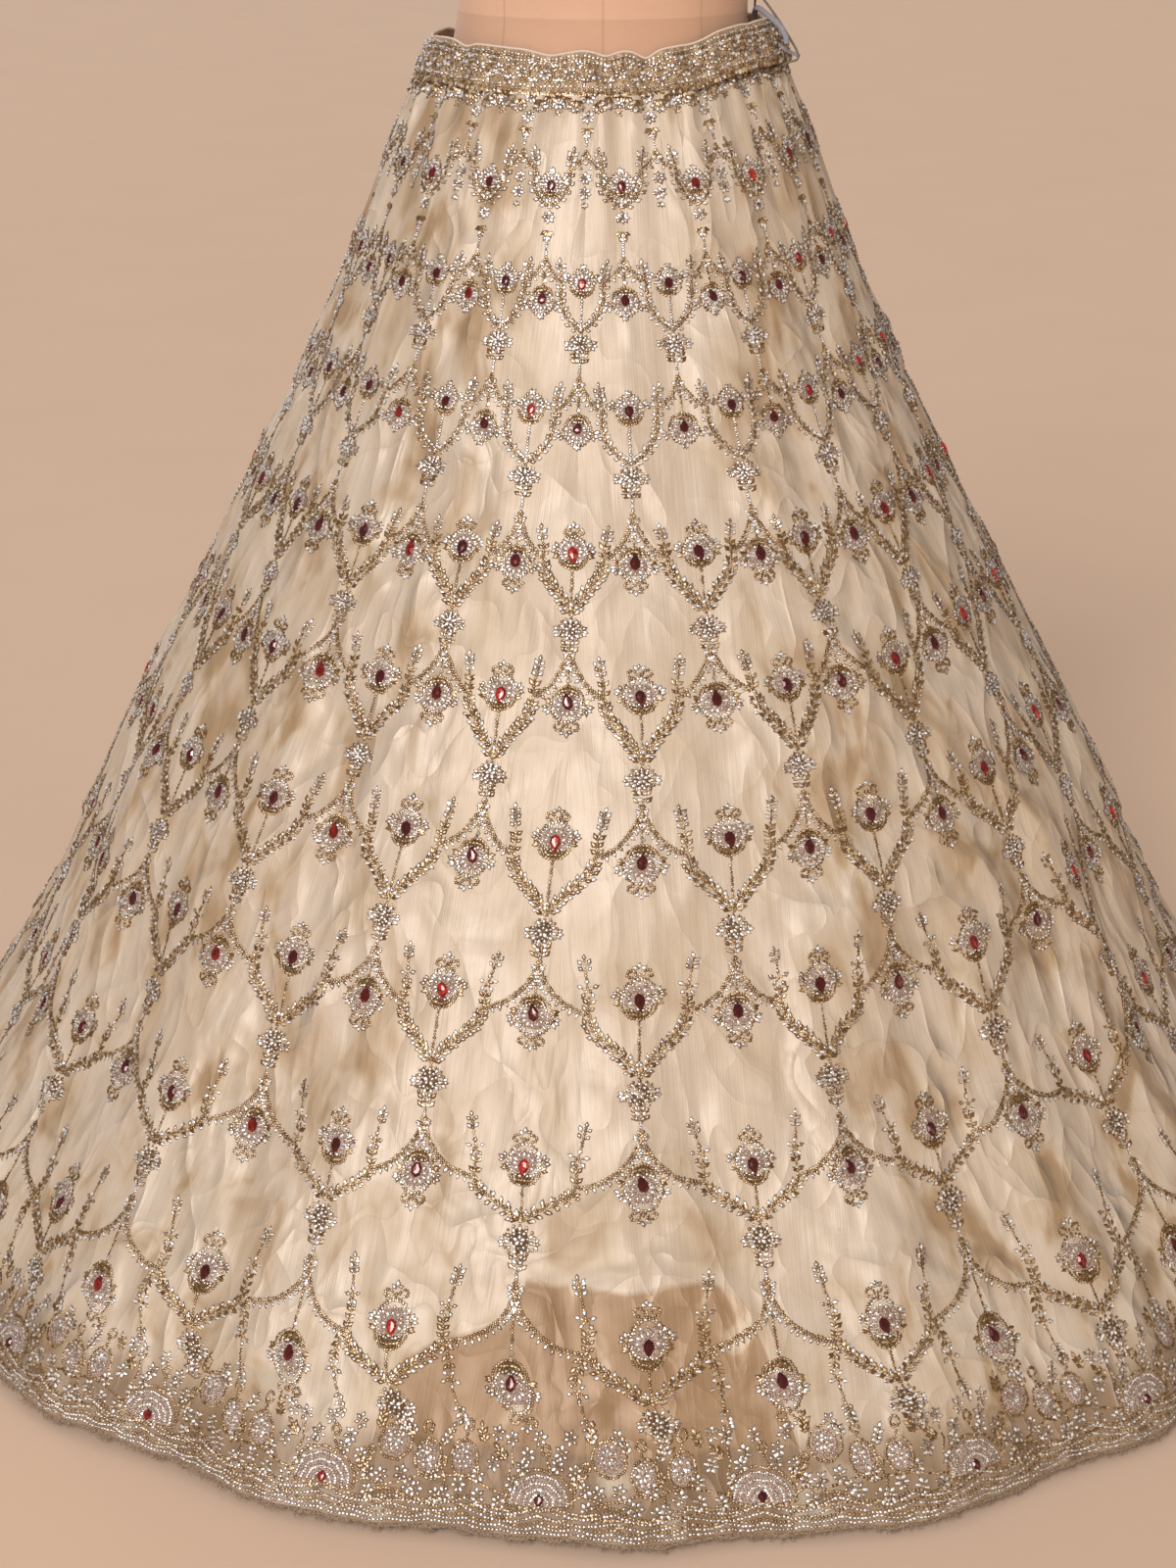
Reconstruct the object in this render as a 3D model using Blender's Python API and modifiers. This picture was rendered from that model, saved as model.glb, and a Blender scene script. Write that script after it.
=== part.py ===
"""Lehenga skirt on a limbless dress form.

Metres, +Z up, the skirt's front towards -Y. The origin is on the floor, on the
axis of the form's pole. Angles round the skirt are in degrees, counted from the
front and growing towards +X. A drop is a share of the skirt's length, 0 at the
top of the waistband and 1 at the floor.
"""
import math
from collections import namedtuple

import bmesh
import bpy
from mathutils import Vector

# Driving dimensions of the skirt
SKIRT_LENGTH = 1.03
BAND_HEIGHT = 0.032
BAND_WALL = 0.0032
CLOTH_WALL = 0.0022
EDGING_WALL = 0.0011
EDGING_SHOWS = 0.0055
HEM_HEIGHT = 0.0115
HEM_WAVE_DEPTH = 0.0018
HEM_SLOW_WAVES = 9
HEM_SLOW_SHARE = 0.4
SEAM_GAP = 0.0003

# Panels, their seams, and the columns and rows of each panel's wall
PANEL_COUNT = 14
FIRST_SEAM = -4.2
PANEL_ANGLE = 360.0 / PANEL_COUNT
PANEL_COLUMNS = 12
PANEL_ROWS = (0.0, 0.03, 0.08, 0.15, 0.24, 0.36, 0.50, 0.66, 0.83, 0.985, 1.0)
SEAM_PULL = 0.0012
SEAM_PULL_ANGLE = 2.4

# Gathers under the waistband
GATHERS_PER_PANEL = 3
GATHER_DEPTH = 0.0030
GATHER_REACH = 0.11
GATHER_UNEVENNESS = 0.25
GATHER_SLOW_WAVES = 5
HEM_WAVES_PER_PANEL = 3

# The slit in the waistband where the drawstring comes out
SLIT_ANGLE = 72.0
SLIT_HALF_WIDTH = 0.0019
BAND_COLUMNS = 125
BAND_ROWS = (0.0, 0.33, 0.67, 1.0)
BAND_SWELL = 0.0012
BAND_WAVES = 28
DEEPEST_PLEAT = 0.6 * BAND_WALL

Ring = namedtuple("Ring", "drop half_width depth_ratio")
SKIRT_RINGS = (
    Ring(0.00, 0.1450, 0.775),
    Ring(0.06, 0.1730, 0.829),
    Ring(0.20, 0.2320, 0.897),
    Ring(0.45, 0.3635, 0.975),
    Ring(0.60, 0.4465, 0.982),
    Ring(0.75, 0.5205, 0.989),
    Ring(1.00, 0.6945, 1.000),
)

# How the hem leaves a true round: sine waves of the half width, as shares of it
HemLobe = namedtuple("HemLobe", "waves share")
HEM_LOBES = (
    HemLobe(1, 0.0093),
    HemLobe(2, 0.0029),
    HemLobe(3, 0.0065),
)

Lift = namedtuple("Lift", "angle rise")
BAND_LIFTS = (
    Lift(-180.0, 0.010),
    Lift(-120.0, 0.006),
    Lift(-90.0, 0.003),
    Lift(-60.0, 0.005),
    Lift(-40.0, 0.002),
    Lift(-20.0, 0.000),
    Lift(12.0, 0.000),
    Lift(28.0, 0.004),
    Lift(43.0, 0.014),
    Lift(56.0, 0.018),
    Lift(72.0, 0.019),
    Lift(95.0, 0.018),
    Lift(140.0, 0.013),
    Lift(180.0, 0.010),
)

BandPleat = namedtuple("BandPleat", "angle half_width depth dip")
BAND_PLEATS = (
    BandPleat(-150.0, 5.0, 0.0022, 0.002),
    BandPleat(-118.0, 4.0, 0.0018, 0.003),
    BandPleat(-84.0, 4.5, 0.0020, 0.002),
    BandPleat(-52.0, 5.0, 0.0024, 0.004),
    BandPleat(-17.0, 6.0, 0.0012, 0.004),
    BandPleat(1.0, 3.6, 0.0018, 0.004),
    BandPleat(14.0, 3.4, 0.0026, 0.006),
    BandPleat(33.0, 4.5, 0.0014, 0.001),
    BandPleat(56.0, 4.5, 0.0016, 0.001),
    BandPleat(104.0, 4.5, 0.0020, 0.003),
    BandPleat(131.0, 5.0, 0.0018, 0.002),
    BandPleat(162.0, 4.0, 0.0024, 0.004),
)

LongFold = namedtuple("LongFold", "angle half_width height top")
LONG_FOLDS = (
    LongFold(-84.0, 5.5, -0.0015, 0.30),
    LongFold(-73.0, 4.5, -0.0060, 0.38),
    LongFold(-63.0, 4.6, 0.0095, 0.35),
    LongFold(-52.0, 4.2, -0.0045, 0.45),
    LongFold(-42.0, 4.4, 0.0060, 0.40),
    LongFold(-31.0, 4.0, -0.0060, 0.50),
    LongFold(-20.0, 4.8, 0.0060, 0.45),
    LongFold(-9.0, 4.0, -0.0040, 0.55),
    LongFold(1.0, 4.4, 0.0050, 0.40),
    LongFold(9.5, 3.2, -0.0060, 0.60),
    LongFold(21.0, 4.0, 0.0085, 0.50),
    LongFold(31.0, 4.4, -0.0065, 0.55),
    LongFold(39.5, 3.6, 0.0060, 0.50),
    LongFold(46.5, 3.4, -0.0060, 0.50),
    LongFold(55.0, 4.0, 0.0080, 0.45),
    LongFold(64.5, 4.4, -0.0070, 0.40),
    LongFold(75.0, 4.6, 0.0070, 0.35),
    LongFold(86.0, 4.8, -0.0040, 0.40),
    LongFold(97.0, 4.8, 0.0045, 0.40),
    LongFold(108.0, 4.4, -0.0060, 0.45),
    LongFold(118.0, 4.0, 0.0070, 0.40),
    LongFold(127.5, 3.6, -0.0050, 0.55),
    LongFold(137.0, 4.4, 0.0080, 0.40),
    LongFold(149.0, 4.8, -0.0060, 0.50),
    LongFold(160.0, 4.0, 0.0060, 0.45),
    LongFold(169.5, 3.6, -0.0050, 0.55),
    LongFold(178.0, 3.6, 0.0070, 0.50),
    LongFold(187.0, 4.0, -0.0060, 0.50),
    LongFold(197.5, 4.8, 0.0080, 0.40),
    LongFold(209.0, 4.4, -0.0060, 0.45),
    LongFold(220.0, 4.0, 0.0060, 0.50),
    LongFold(231.0, 4.4, -0.0050, 0.50),
    LongFold(242.0, 4.8, 0.0080, 0.40),
    LongFold(254.0, 4.4, -0.0060, 0.40),
    LongFold(265.0, 4.0, 0.0010, 0.40),
)
FOLD_GROWTH = 0.30

# Dress form: the torso's rings from its flat bottom to the neck
FormRing = namedtuple("FormRing", "height half_width half_depth")
FORM_RINGS = (
    FormRing(0.760, 0.1500, 0.1080),
    FormRing(0.785, 0.1640, 0.1180),
    FormRing(0.840, 0.1670, 0.1200),
    FormRing(0.905, 0.1580, 0.1190),
    FormRing(0.965, 0.1440, 0.1150),
    FormRing(1.000, 0.1340, 0.1110),
    FormRing(1.030, 0.1265, 0.1087),
    FormRing(1.055, 0.1225, 0.1065),
    FormRing(1.090, 0.1235, 0.1080),
    FormRing(1.145, 0.1310, 0.1150),
    FormRing(1.210, 0.1410, 0.1270),
    FormRing(1.260, 0.1470, 0.1310),
    FormRing(1.310, 0.1530, 0.1230),
    FormRing(1.355, 0.1640, 0.1050),
    FormRing(1.380, 0.1620, 0.0930),
    FormRing(1.400, 0.1450, 0.0840),
    FormRing(1.420, 0.1150, 0.0740),
    FormRing(1.438, 0.0860, 0.0650),
    FormRing(1.455, 0.0660, 0.0590),
    FormRing(1.472, 0.0570, 0.0550),
    FormRing(1.490, 0.0540, 0.0530),
)
FORM_SEGMENTS = 36
CAP_RADIUS = 0.058
CAP_HEIGHT = 0.012
CAP_BEVEL = 0.003
POLE_RADIUS = 0.016
BASE_RADIUS = 0.17
BASE_EDGE_HEIGHT = 0.008
BASE_HEIGHT = 0.014
BASE_HUB_RADIUS = 0.03

# Cords at the slit, each a route of hand-placed points in metres
Cord = namedtuple("Cord", "name diameter route")
CORDS = (
    Cord("drawstring_end", 0.005, (
        (0.1300, 0.0120, 1.0440),
        (0.1292, 0.0040, 1.0515),
        (0.1300, -0.0080, 1.0560),
        (0.1335, -0.0220, 1.0553),
        (0.1383, -0.0345, 1.0519),
        (0.1440, -0.0425, 1.0480),
        (0.1492, -0.0475, 1.0425),
        (0.1522, -0.0500, 1.0365),
        (0.1530, -0.0512, 1.0308),
    )),
    Cord("drawstring_tail", 0.003, (
        (0.1310, -0.0337, 1.0312),
        (0.1375, -0.0353, 1.0304),
        (0.1470, -0.0377, 1.0284),
        (0.1524, -0.0388, 1.0254),
        (0.1592, -0.0400, 1.0222),
        (0.1648, -0.0410, 1.0200),
    )),
    Cord("tie_loop", 0.002, (
        (0.1310, 0.0260, 1.0430),
        (0.1300, 0.0200, 1.0560),
        (0.1306, 0.0110, 1.0650),
        (0.1330, -0.0020, 1.0655),
        (0.1390, -0.0180, 1.0590),
        (0.1490, -0.0330, 1.0455),
        (0.1570, -0.0400, 1.0330),
        (0.1625, -0.0445, 1.0235),
        (0.1622, -0.0480, 1.0180),
        (0.1570, -0.0490, 1.0165),
        (0.1510, -0.0478, 1.0140),
        (0.1453, -0.0467, 1.0125),
    )),
)
CORD_POINT_SPACING = 2.2
CORD_BEVEL_RESOLUTION = 2


Finish = namedtuple("Finish", "colour roughness metallic")
FINISHES = {
    "tissue_cloth": Finish((0.72, 0.58, 0.38), 0.38, 0.35),
    "band_cloth": Finish((0.55, 0.42, 0.27), 0.60, 0.15),
    "net_edging": Finish((0.45, 0.33, 0.21), 0.85, 0.0),
    "drawstring_cord": Finish((0.62, 0.57, 0.66), 0.70, 0.0),
    "tie_cord": Finish((0.38, 0.25, 0.12), 0.60, 0.0),
    "form_cover": Finish((0.66, 0.41, 0.27), 0.75, 0.0),
    "form_wood": Finish((0.30, 0.17, 0.08), 0.45, 0.0),
    "form_metal": Finish((0.42, 0.41, 0.40), 0.35, 0.9),
}


def clear_scene():
    for old in list(bpy.data.objects):
        bpy.data.objects.remove(old, do_unlink=True)


def make_collection(name):
    collection = bpy.data.collections.new(name)
    bpy.context.scene.collection.children.link(collection)
    return collection


def principled(name, finish):
    material = bpy.data.materials.new(name)
    material.use_nodes = True
    shader = material.node_tree.nodes["Principled BSDF"]
    shader.inputs["Base Color"].default_value = (*finish.colour, 1.0)
    shader.inputs["Roughness"].default_value = finish.roughness
    shader.inputs["Metallic"].default_value = finish.metallic
    return material


def smoothstep(low, high, value):
    share = min(max((value - low) / (high - low), 0.0), 1.0)
    return share * share * (3.0 - 2.0 * share)


def smooth_table(rows, x_name, y_name, x):
    """Read a table between its rows on a monotone cubic curve."""
    xs = [getattr(row, x_name) for row in rows]
    ys = [getattr(row, y_name) for row in rows]
    spans = [b - a for a, b in zip(xs, xs[1:])]
    slopes = [(b - a) / span for a, b, span in zip(ys, ys[1:], spans)]
    tangents = [slopes[0]]
    for before, after, left, right in zip(slopes, slopes[1:], spans, spans[1:]):
        if before * after <= 0.0:
            tangents.append(0.0)
            continue
        weight_left = 2.0 * right + left
        weight_right = right + 2.0 * left
        total = weight_left + weight_right
        tangents.append(total / (weight_left / before + weight_right / after))
    tangents.append(slopes[-1])
    x = min(max(x, xs[0]), xs[-1])
    i = min(sum(1 for edge in xs[1:-1] if x >= edge), len(spans) - 1)
    s = (x - xs[i]) / spans[i]
    return ((2 * s**3 - 3 * s**2 + 1) * ys[i]
            + (s**3 - 2 * s**2 + s) * spans[i] * tangents[i]
            + (3 * s**2 - 2 * s**3) * ys[i + 1]
            + (s**3 - s**2) * spans[i] * tangents[i + 1])


def turn_between(angle, centre):
    """The signed turn in degrees from centre to angle, the short way round."""
    return (angle - centre + 180.0) % 360.0 - 180.0


def bump(angle, centre, half_width):
    return math.exp(-(turn_between(angle, centre) / half_width) ** 2)


def band_lift(angle):
    """How far the drawstring pulls the waistband up at this angle."""
    return smooth_table(BAND_LIFTS, "angle", "rise", turn_between(angle, 0.0))


def band_top(angle):
    dips = sum(p.dip * bump(angle, p.angle, p.half_width) for p in BAND_PLEATS)
    return SKIRT_LENGTH + band_lift(angle) - dips


def band_bottom(angle):
    return SKIRT_LENGTH - BAND_HEIGHT + band_lift(angle)


def hem_height(angle):
    """The lower edge of the panels, in soft uneven waves."""
    around = math.radians(angle - FIRST_SEAM)
    wave = math.sin(PANEL_COUNT * HEM_WAVES_PER_PANEL * around)
    slow = math.sin(HEM_SLOW_WAVES * around + 1.0)
    mixed = (1.0 - HEM_SLOW_SHARE) * wave + HEM_SLOW_SHARE * slow
    return HEM_HEIGHT + HEM_WAVE_DEPTH * mixed


def gather_height(angle, below_band):
    """The gathers drawn up by the waistband, fading as they go down."""
    around = math.radians(angle - FIRST_SEAM)
    uneven = GATHER_UNEVENNESS * (math.sin(GATHER_SLOW_WAVES * around + 0.6) - 1.0)
    wave = -math.cos(PANEL_COUNT * GATHERS_PER_PANEL * around)
    fade = math.exp(-(below_band / GATHER_REACH) ** 2)
    return GATHER_DEPTH * (1.0 + uneven) * wave * fade


def fold_height(angle, drop):
    """The long soft folds that open towards the hem."""
    height = 0.0
    for fold in LONG_FOLDS:
        grown = smoothstep(fold.top, fold.top + FOLD_GROWTH, drop)
        height += fold.height * grown * bump(angle, fold.angle, fold.half_width)
    return height


def seam_pull(angle):
    nearest = round((angle - FIRST_SEAM) / PANEL_ANGLE) * PANEL_ANGLE + FIRST_SEAM
    return -SEAM_PULL * bump(angle, nearest, SEAM_PULL_ANGLE)


def skirt_radius(angle, height):
    """The outer half width of the skirt in the direction of this angle."""
    drop = (SKIRT_LENGTH - height) / SKIRT_LENGTH
    lobes = sum(lobe.share * math.sin(lobe.waves * math.radians(angle)) for lobe in HEM_LOBES)
    radius = smooth_table(SKIRT_RINGS, "drop", "half_width", drop)
    radius *= 1.0 + max(drop, 0.0) ** 1.5 * lobes
    radius += gather_height(angle, band_bottom(angle) - height)
    radius += fold_height(angle, drop) + seam_pull(angle)
    return radius


def depth_ratio(height):
    drop = (SKIRT_LENGTH - height) / SKIRT_LENGTH
    return smooth_table(SKIRT_RINGS, "drop", "depth_ratio", drop)


def place(angle, radius, ratio, height):
    side = math.radians(angle)
    return Vector((radius * math.sin(side), -radius * ratio * math.cos(side), height))


def skirt_point(angle, height, inset=0.0):
    radius = skirt_radius(angle, height) - inset
    return place(angle, radius, depth_ratio(height), height)


def mesh_object(name, bm, material, collection):
    mesh = bpy.data.meshes.new(name)
    bmesh.ops.recalc_face_normals(bm, faces=bm.faces)
    bm.to_mesh(mesh)
    bm.free()
    mesh.materials.append(material)
    mesh.shade_smooth()
    mesh.set_sharp_from_angle(angle=math.radians(50.0))
    obj = bpy.data.objects.new(name, mesh)
    collection.objects.link(obj)
    return obj


def wall(name, outer, inner, closed, material, collection):
    """A cloth wall between two grids of points, each a list of columns."""
    bm = bmesh.new()
    outside = [[bm.verts.new(point) for point in column] for column in outer]
    inside = [[bm.verts.new(point) for point in column] for column in inner]
    columns = len(outer)
    rows = len(outer[0])
    spans = columns if closed else columns - 1
    for i in range(spans):
        j = (i + 1) % columns
        for k in range(rows - 1):
            bm.faces.new((outside[i][k], outside[i][k + 1], outside[j][k + 1], outside[j][k]))
            bm.faces.new((inside[i][k], inside[j][k], inside[j][k + 1], inside[i][k + 1]))
        for k in (0, rows - 1):
            bm.faces.new((outside[i][k], outside[j][k], inside[j][k], inside[i][k]))
    if not closed:
        for i in (0, columns - 1):
            for k in range(rows - 1):
                bm.faces.new((outside[i][k], outside[i][k + 1],
                              inside[i][k + 1], inside[i][k]))
    return mesh_object(name, bm, material, collection)


def panel_column(angle, shift, inset):
    """One column of a panel's wall, from under the waistband to the hem.

    shift is a sideways move in metres that leaves half of a seam's gap.
    """
    top = band_bottom(angle) - SEAM_GAP
    bottom = hem_height(angle)
    points = []
    for share in PANEL_ROWS:
        height = top + share * (bottom - top)
        turned = angle + math.degrees(shift / skirt_radius(angle, height))
        radius = skirt_radius(angle, height) - inset
        points.append(place(turned, radius, depth_ratio(height), height))
    return points


def make_panels(material, collection):
    for panel in range(PANEL_COUNT):
        left_seam = FIRST_SEAM + panel * PANEL_ANGLE
        outer = []
        inner = []
        for column in range(PANEL_COLUMNS + 1):
            angle = left_seam + PANEL_ANGLE * column / PANEL_COLUMNS
            shift = {0: SEAM_GAP / 2.0, PANEL_COLUMNS: -SEAM_GAP / 2.0}.get(column, 0.0)
            outer.append(panel_column(angle, shift, 0.0))
            inner.append(panel_column(angle, shift, CLOTH_WALL))
        wall(f"skirt_panel_{panel + 1:02d}", outer, inner, False, material, collection)


def make_hem_edging(material, collection):
    """A raw net edge inside the hem, made from the panels' lowest inner points."""
    outer = []
    inner = []
    for column in range(PANEL_COUNT * PANEL_COLUMNS):
        angle = FIRST_SEAM + PANEL_ANGLE * column / PANEL_COLUMNS
        upper, lower = panel_column(angle, 0.0, CLOTH_WALL + SEAM_GAP)[-2:]
        slope = (lower - upper).normalized()
        lowest = lower + slope * (EDGING_SHOWS / -slope.z)
        inward = Vector((-math.sin(math.radians(angle)), math.cos(math.radians(angle)), 0.0))
        outer.append([upper, lower, lowest])
        inner.append([point + inward * EDGING_WALL for point in (upper, lower, lowest)])
    wall("hem_edging", outer, inner, True, material, collection)


def band_crumple(angle, share):
    """How far the band's outer face swells between its pleats."""
    pleats = sum(p.depth * bump(angle, p.angle, p.half_width) for p in BAND_PLEATS)
    waves = math.cos(BAND_WAVES * math.radians(angle - FIRST_SEAM))
    swell = BAND_SWELL * math.sin(math.pi * share) * (1.0 + 0.5 * waves)
    across = math.sin(math.pi * (0.15 + 0.7 * share))
    return swell - min(pleats, DEEPEST_PLEAT) * across


def make_waistband(material, collection):
    """A gathered band, open at the slit."""
    across = SKIRT_RINGS[0].half_width * SKIRT_RINGS[0].depth_ratio
    slit_half_angle = math.degrees(SLIT_HALF_WIDTH / across)
    start = SLIT_ANGLE + slit_half_angle
    sweep = 360.0 - 2.0 * slit_half_angle
    outer = []
    inner = []
    for column in range(BAND_COLUMNS + 1):
        angle = start + sweep * column / BAND_COLUMNS
        top = band_top(angle)
        bottom = band_bottom(angle)
        outside = []
        inside = []
        for share in BAND_ROWS:
            height = top + share * (bottom - top)
            nominal = SKIRT_LENGTH - share * BAND_HEIGHT
            drop = share * BAND_HEIGHT / SKIRT_LENGTH
            radius = smooth_table(SKIRT_RINGS, "drop", "half_width", drop)
            ratio = depth_ratio(nominal)
            outside.append(place(angle, radius + band_crumple(angle, share), ratio, height))
            inside.append(place(angle, radius - BAND_WALL, ratio, height))
        outer.append(outside)
        inner.append(inside)
    wall("waistband", outer, inner, False, material, collection)


def make_torso(material, collection):
    """The form's torso, a loft through its rings, closed at both ends."""
    bm = bmesh.new()
    loops = []
    for ring in FORM_RINGS:
        loop = []
        for segment in range(FORM_SEGMENTS):
            side = 2.0 * math.pi * segment / FORM_SEGMENTS
            x = ring.half_width * math.sin(side)
            y = -ring.half_depth * math.cos(side)
            loop.append(bm.verts.new((x, y, ring.height)))
        loops.append(loop)
    for lower, upper in zip(loops, loops[1:]):
        for i in range(FORM_SEGMENTS):
            j = (i + 1) % FORM_SEGMENTS
            bm.faces.new((lower[i], lower[j], upper[j], upper[i]))
    bm.faces.new(reversed(loops[0]))
    bm.faces.new(loops[-1])
    mesh_object("form_torso", bm, material, collection)


def make_cylinder(name, radius, low, high, segments, material, collection):
    bm = bmesh.new()
    bmesh.ops.create_cone(bm, cap_ends=True, segments=segments, radius1=radius,
                          radius2=radius, depth=high - low)
    bmesh.ops.translate(bm, verts=bm.verts, vec=(0.0, 0.0, (low + high) / 2.0))
    return mesh_object(name, bm, material, collection)


def make_neck_cap(material, collection):
    low = FORM_RINGS[-1].height + SEAM_GAP
    cap = make_cylinder("form_neck_cap", CAP_RADIUS, low, low + CAP_HEIGHT, 32,
                        material, collection)
    bevel = cap.modifiers.new("rounded rim", "BEVEL")
    bevel.width = CAP_BEVEL
    bevel.segments = 2
    bevel.limit_method = "ANGLE"


def make_pole(material, collection):
    low = BASE_HEIGHT + SEAM_GAP
    high = FORM_RINGS[0].height - SEAM_GAP
    make_cylinder("form_pole", POLE_RADIUS, low, high, 24, material, collection)


def make_base(material, collection):
    """A turned disc, flat underneath, a little higher at its hub."""
    profile = (
        (0.0, BASE_HEIGHT),
        (BASE_HUB_RADIUS, BASE_HEIGHT),
        (BASE_RADIUS - BASE_EDGE_HEIGHT, BASE_EDGE_HEIGHT + 0.001),
        (BASE_RADIUS - 0.002, BASE_EDGE_HEIGHT - 0.001),
        (BASE_RADIUS, BASE_EDGE_HEIGHT - 0.003),
        (BASE_RADIUS, 0.0),
        (0.0, 0.0),
    )
    mesh = bpy.data.meshes.new("form_base")
    edges = [(i, i + 1) for i in range(len(profile) - 1)]
    mesh.from_pydata([(radius, 0.0, height) for radius, height in profile], edges, [])
    mesh.materials.append(material)
    base = bpy.data.objects.new("form_base", mesh)
    collection.objects.link(base)
    screw = base.modifiers.new("turned", "SCREW")
    screw.steps = 48
    screw.render_steps = 48
    screw.use_merge_vertices = True
    screw.merge_threshold = 0.00001
    screw.use_smooth_shade = False


def smooth_route(route, spacing):
    """Points at about this spacing on a smooth curve through the route's points."""
    points = [Vector(point) for point in route]
    padded = [2 * points[0] - points[1], *points, 2 * points[-1] - points[-2]]
    smooth = [points[0]]
    for p0, p1, p2, p3 in zip(padded, padded[1:], padded[2:], padded[3:]):
        steps = max(1, round((p2 - p1).length / spacing))
        for step in range(1, steps + 1):
            s = step / steps
            smooth.append(0.5 * (2 * p1 + (p2 - p0) * s
                                 + (2 * p0 - 5 * p1 + 4 * p2 - p3) * s**2
                                 + (3 * p1 - p0 - 3 * p2 + p3) * s**3))
    return smooth


def make_cord(cord, material, collection):
    points = smooth_route(cord.route, cord.diameter * CORD_POINT_SPACING)
    curve = bpy.data.curves.new(cord.name, "CURVE")
    curve.dimensions = "3D"
    curve.bevel_depth = cord.diameter / 2.0
    curve.bevel_resolution = CORD_BEVEL_RESOLUTION
    curve.use_fill_caps = True
    spline = curve.splines.new("POLY")
    spline.points.add(len(points) - 1)
    for target, point in zip(spline.points, points):
        target.co = (*point, 1.0)
    curve.materials.append(material)
    collection.objects.link(bpy.data.objects.new(cord.name, curve))


def main():
    clear_scene()
    collection = make_collection("lehenga_skirt_on_dress_form")
    paint = {name: principled(name, finish) for name, finish in FINISHES.items()}
    make_panels(paint["tissue_cloth"], collection)
    make_hem_edging(paint["net_edging"], collection)
    make_waistband(paint["band_cloth"], collection)
    make_torso(paint["form_cover"], collection)
    make_neck_cap(paint["form_wood"], collection)
    make_pole(paint["form_metal"], collection)
    make_base(paint["form_metal"], collection)
    for cord in CORDS:
        slot = "tie_cord" if cord.name == "tie_loop" else "drawstring_cord"
        make_cord(cord, paint[slot], collection)


main()
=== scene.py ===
"""Looks of a beaded lehenga skirt that rests on a limbless dress form.

Metres, +Z up, the skirt's front towards -Y. Angles round the skirt are in degrees,
counted from the front and growing towards +X. The cloth is one grid of points,
read between them for every bead that is sewn on it.
"""

import math
from collections import namedtuple

import bpy
import numpy as np
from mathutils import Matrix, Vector


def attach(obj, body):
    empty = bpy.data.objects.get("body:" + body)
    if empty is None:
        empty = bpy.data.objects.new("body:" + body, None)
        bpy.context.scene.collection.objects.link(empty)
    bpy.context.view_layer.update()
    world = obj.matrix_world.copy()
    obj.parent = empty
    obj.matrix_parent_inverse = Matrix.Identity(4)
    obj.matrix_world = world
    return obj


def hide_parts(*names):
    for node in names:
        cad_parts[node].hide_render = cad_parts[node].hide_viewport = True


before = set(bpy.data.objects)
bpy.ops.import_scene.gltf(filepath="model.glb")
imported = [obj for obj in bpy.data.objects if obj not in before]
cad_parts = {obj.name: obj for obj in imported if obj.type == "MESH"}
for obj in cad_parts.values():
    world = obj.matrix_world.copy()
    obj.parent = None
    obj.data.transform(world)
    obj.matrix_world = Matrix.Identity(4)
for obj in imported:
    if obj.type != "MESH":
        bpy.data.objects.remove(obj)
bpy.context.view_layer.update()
RNG = np.random.default_rng(7)

# Camera at the photograph's view
CAMERA_PLACE = (-0.0121, -2.3788, 1.2508)
CAMERA_PITCH = 0.3602
CAMERA_LENS = 62.37
VIEW_END = 400.0

# Driving dimensions of the skirt
SKIRT_LENGTH = 1.03
BAND_HEIGHT = 0.032
BAND_WALL = 0.0032
EDGING_SHOWS = 0.0055
HEM_HEIGHT = 0.0115
HEM_WAVE_DEPTH = 0.0018
HEM_SLOW_WAVES = 9
HEM_SLOW_SHARE = 0.4
SEAM_GAP = 0.0003
PANEL_COUNT = 14
FIRST_SEAM = -4.2
PANEL_ANGLE = 360.0 / PANEL_COUNT
SEAM_PULL = 0.0012
SEAM_PULL_ANGLE = 2.4
GATHERS_PER_PANEL = 3
GATHER_DEPTH = 0.0030
GATHER_REACH = 0.11
GATHER_UNEVENNESS = 0.25
GATHER_SLOW_WAVES = 5
SLIT_ANGLE = 72.0
SLIT_HALF_WIDTH = 0.0019
BAND_SWELL = 0.0012
BAND_WAVES = 28
DEEPEST_PLEAT = 0.6 * BAND_WALL

Ring = namedtuple("Ring", "drop half_width depth_ratio")
SKIRT_RINGS = tuple(Ring(*row) for row in (
    (0.00, 0.1450, 0.775), (0.06, 0.1730, 0.829), (0.20, 0.2320, 0.897), (0.45, 0.3635, 0.975),
    (0.60, 0.4465, 0.982), (0.75, 0.5205, 0.989), (1.00, 0.6945, 1.000),
))
HemLobe = namedtuple("HemLobe", "waves share")
HEM_LOBES = (HemLobe(1, 0.0093), HemLobe(2, 0.0029), HemLobe(3, 0.0065))

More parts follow.
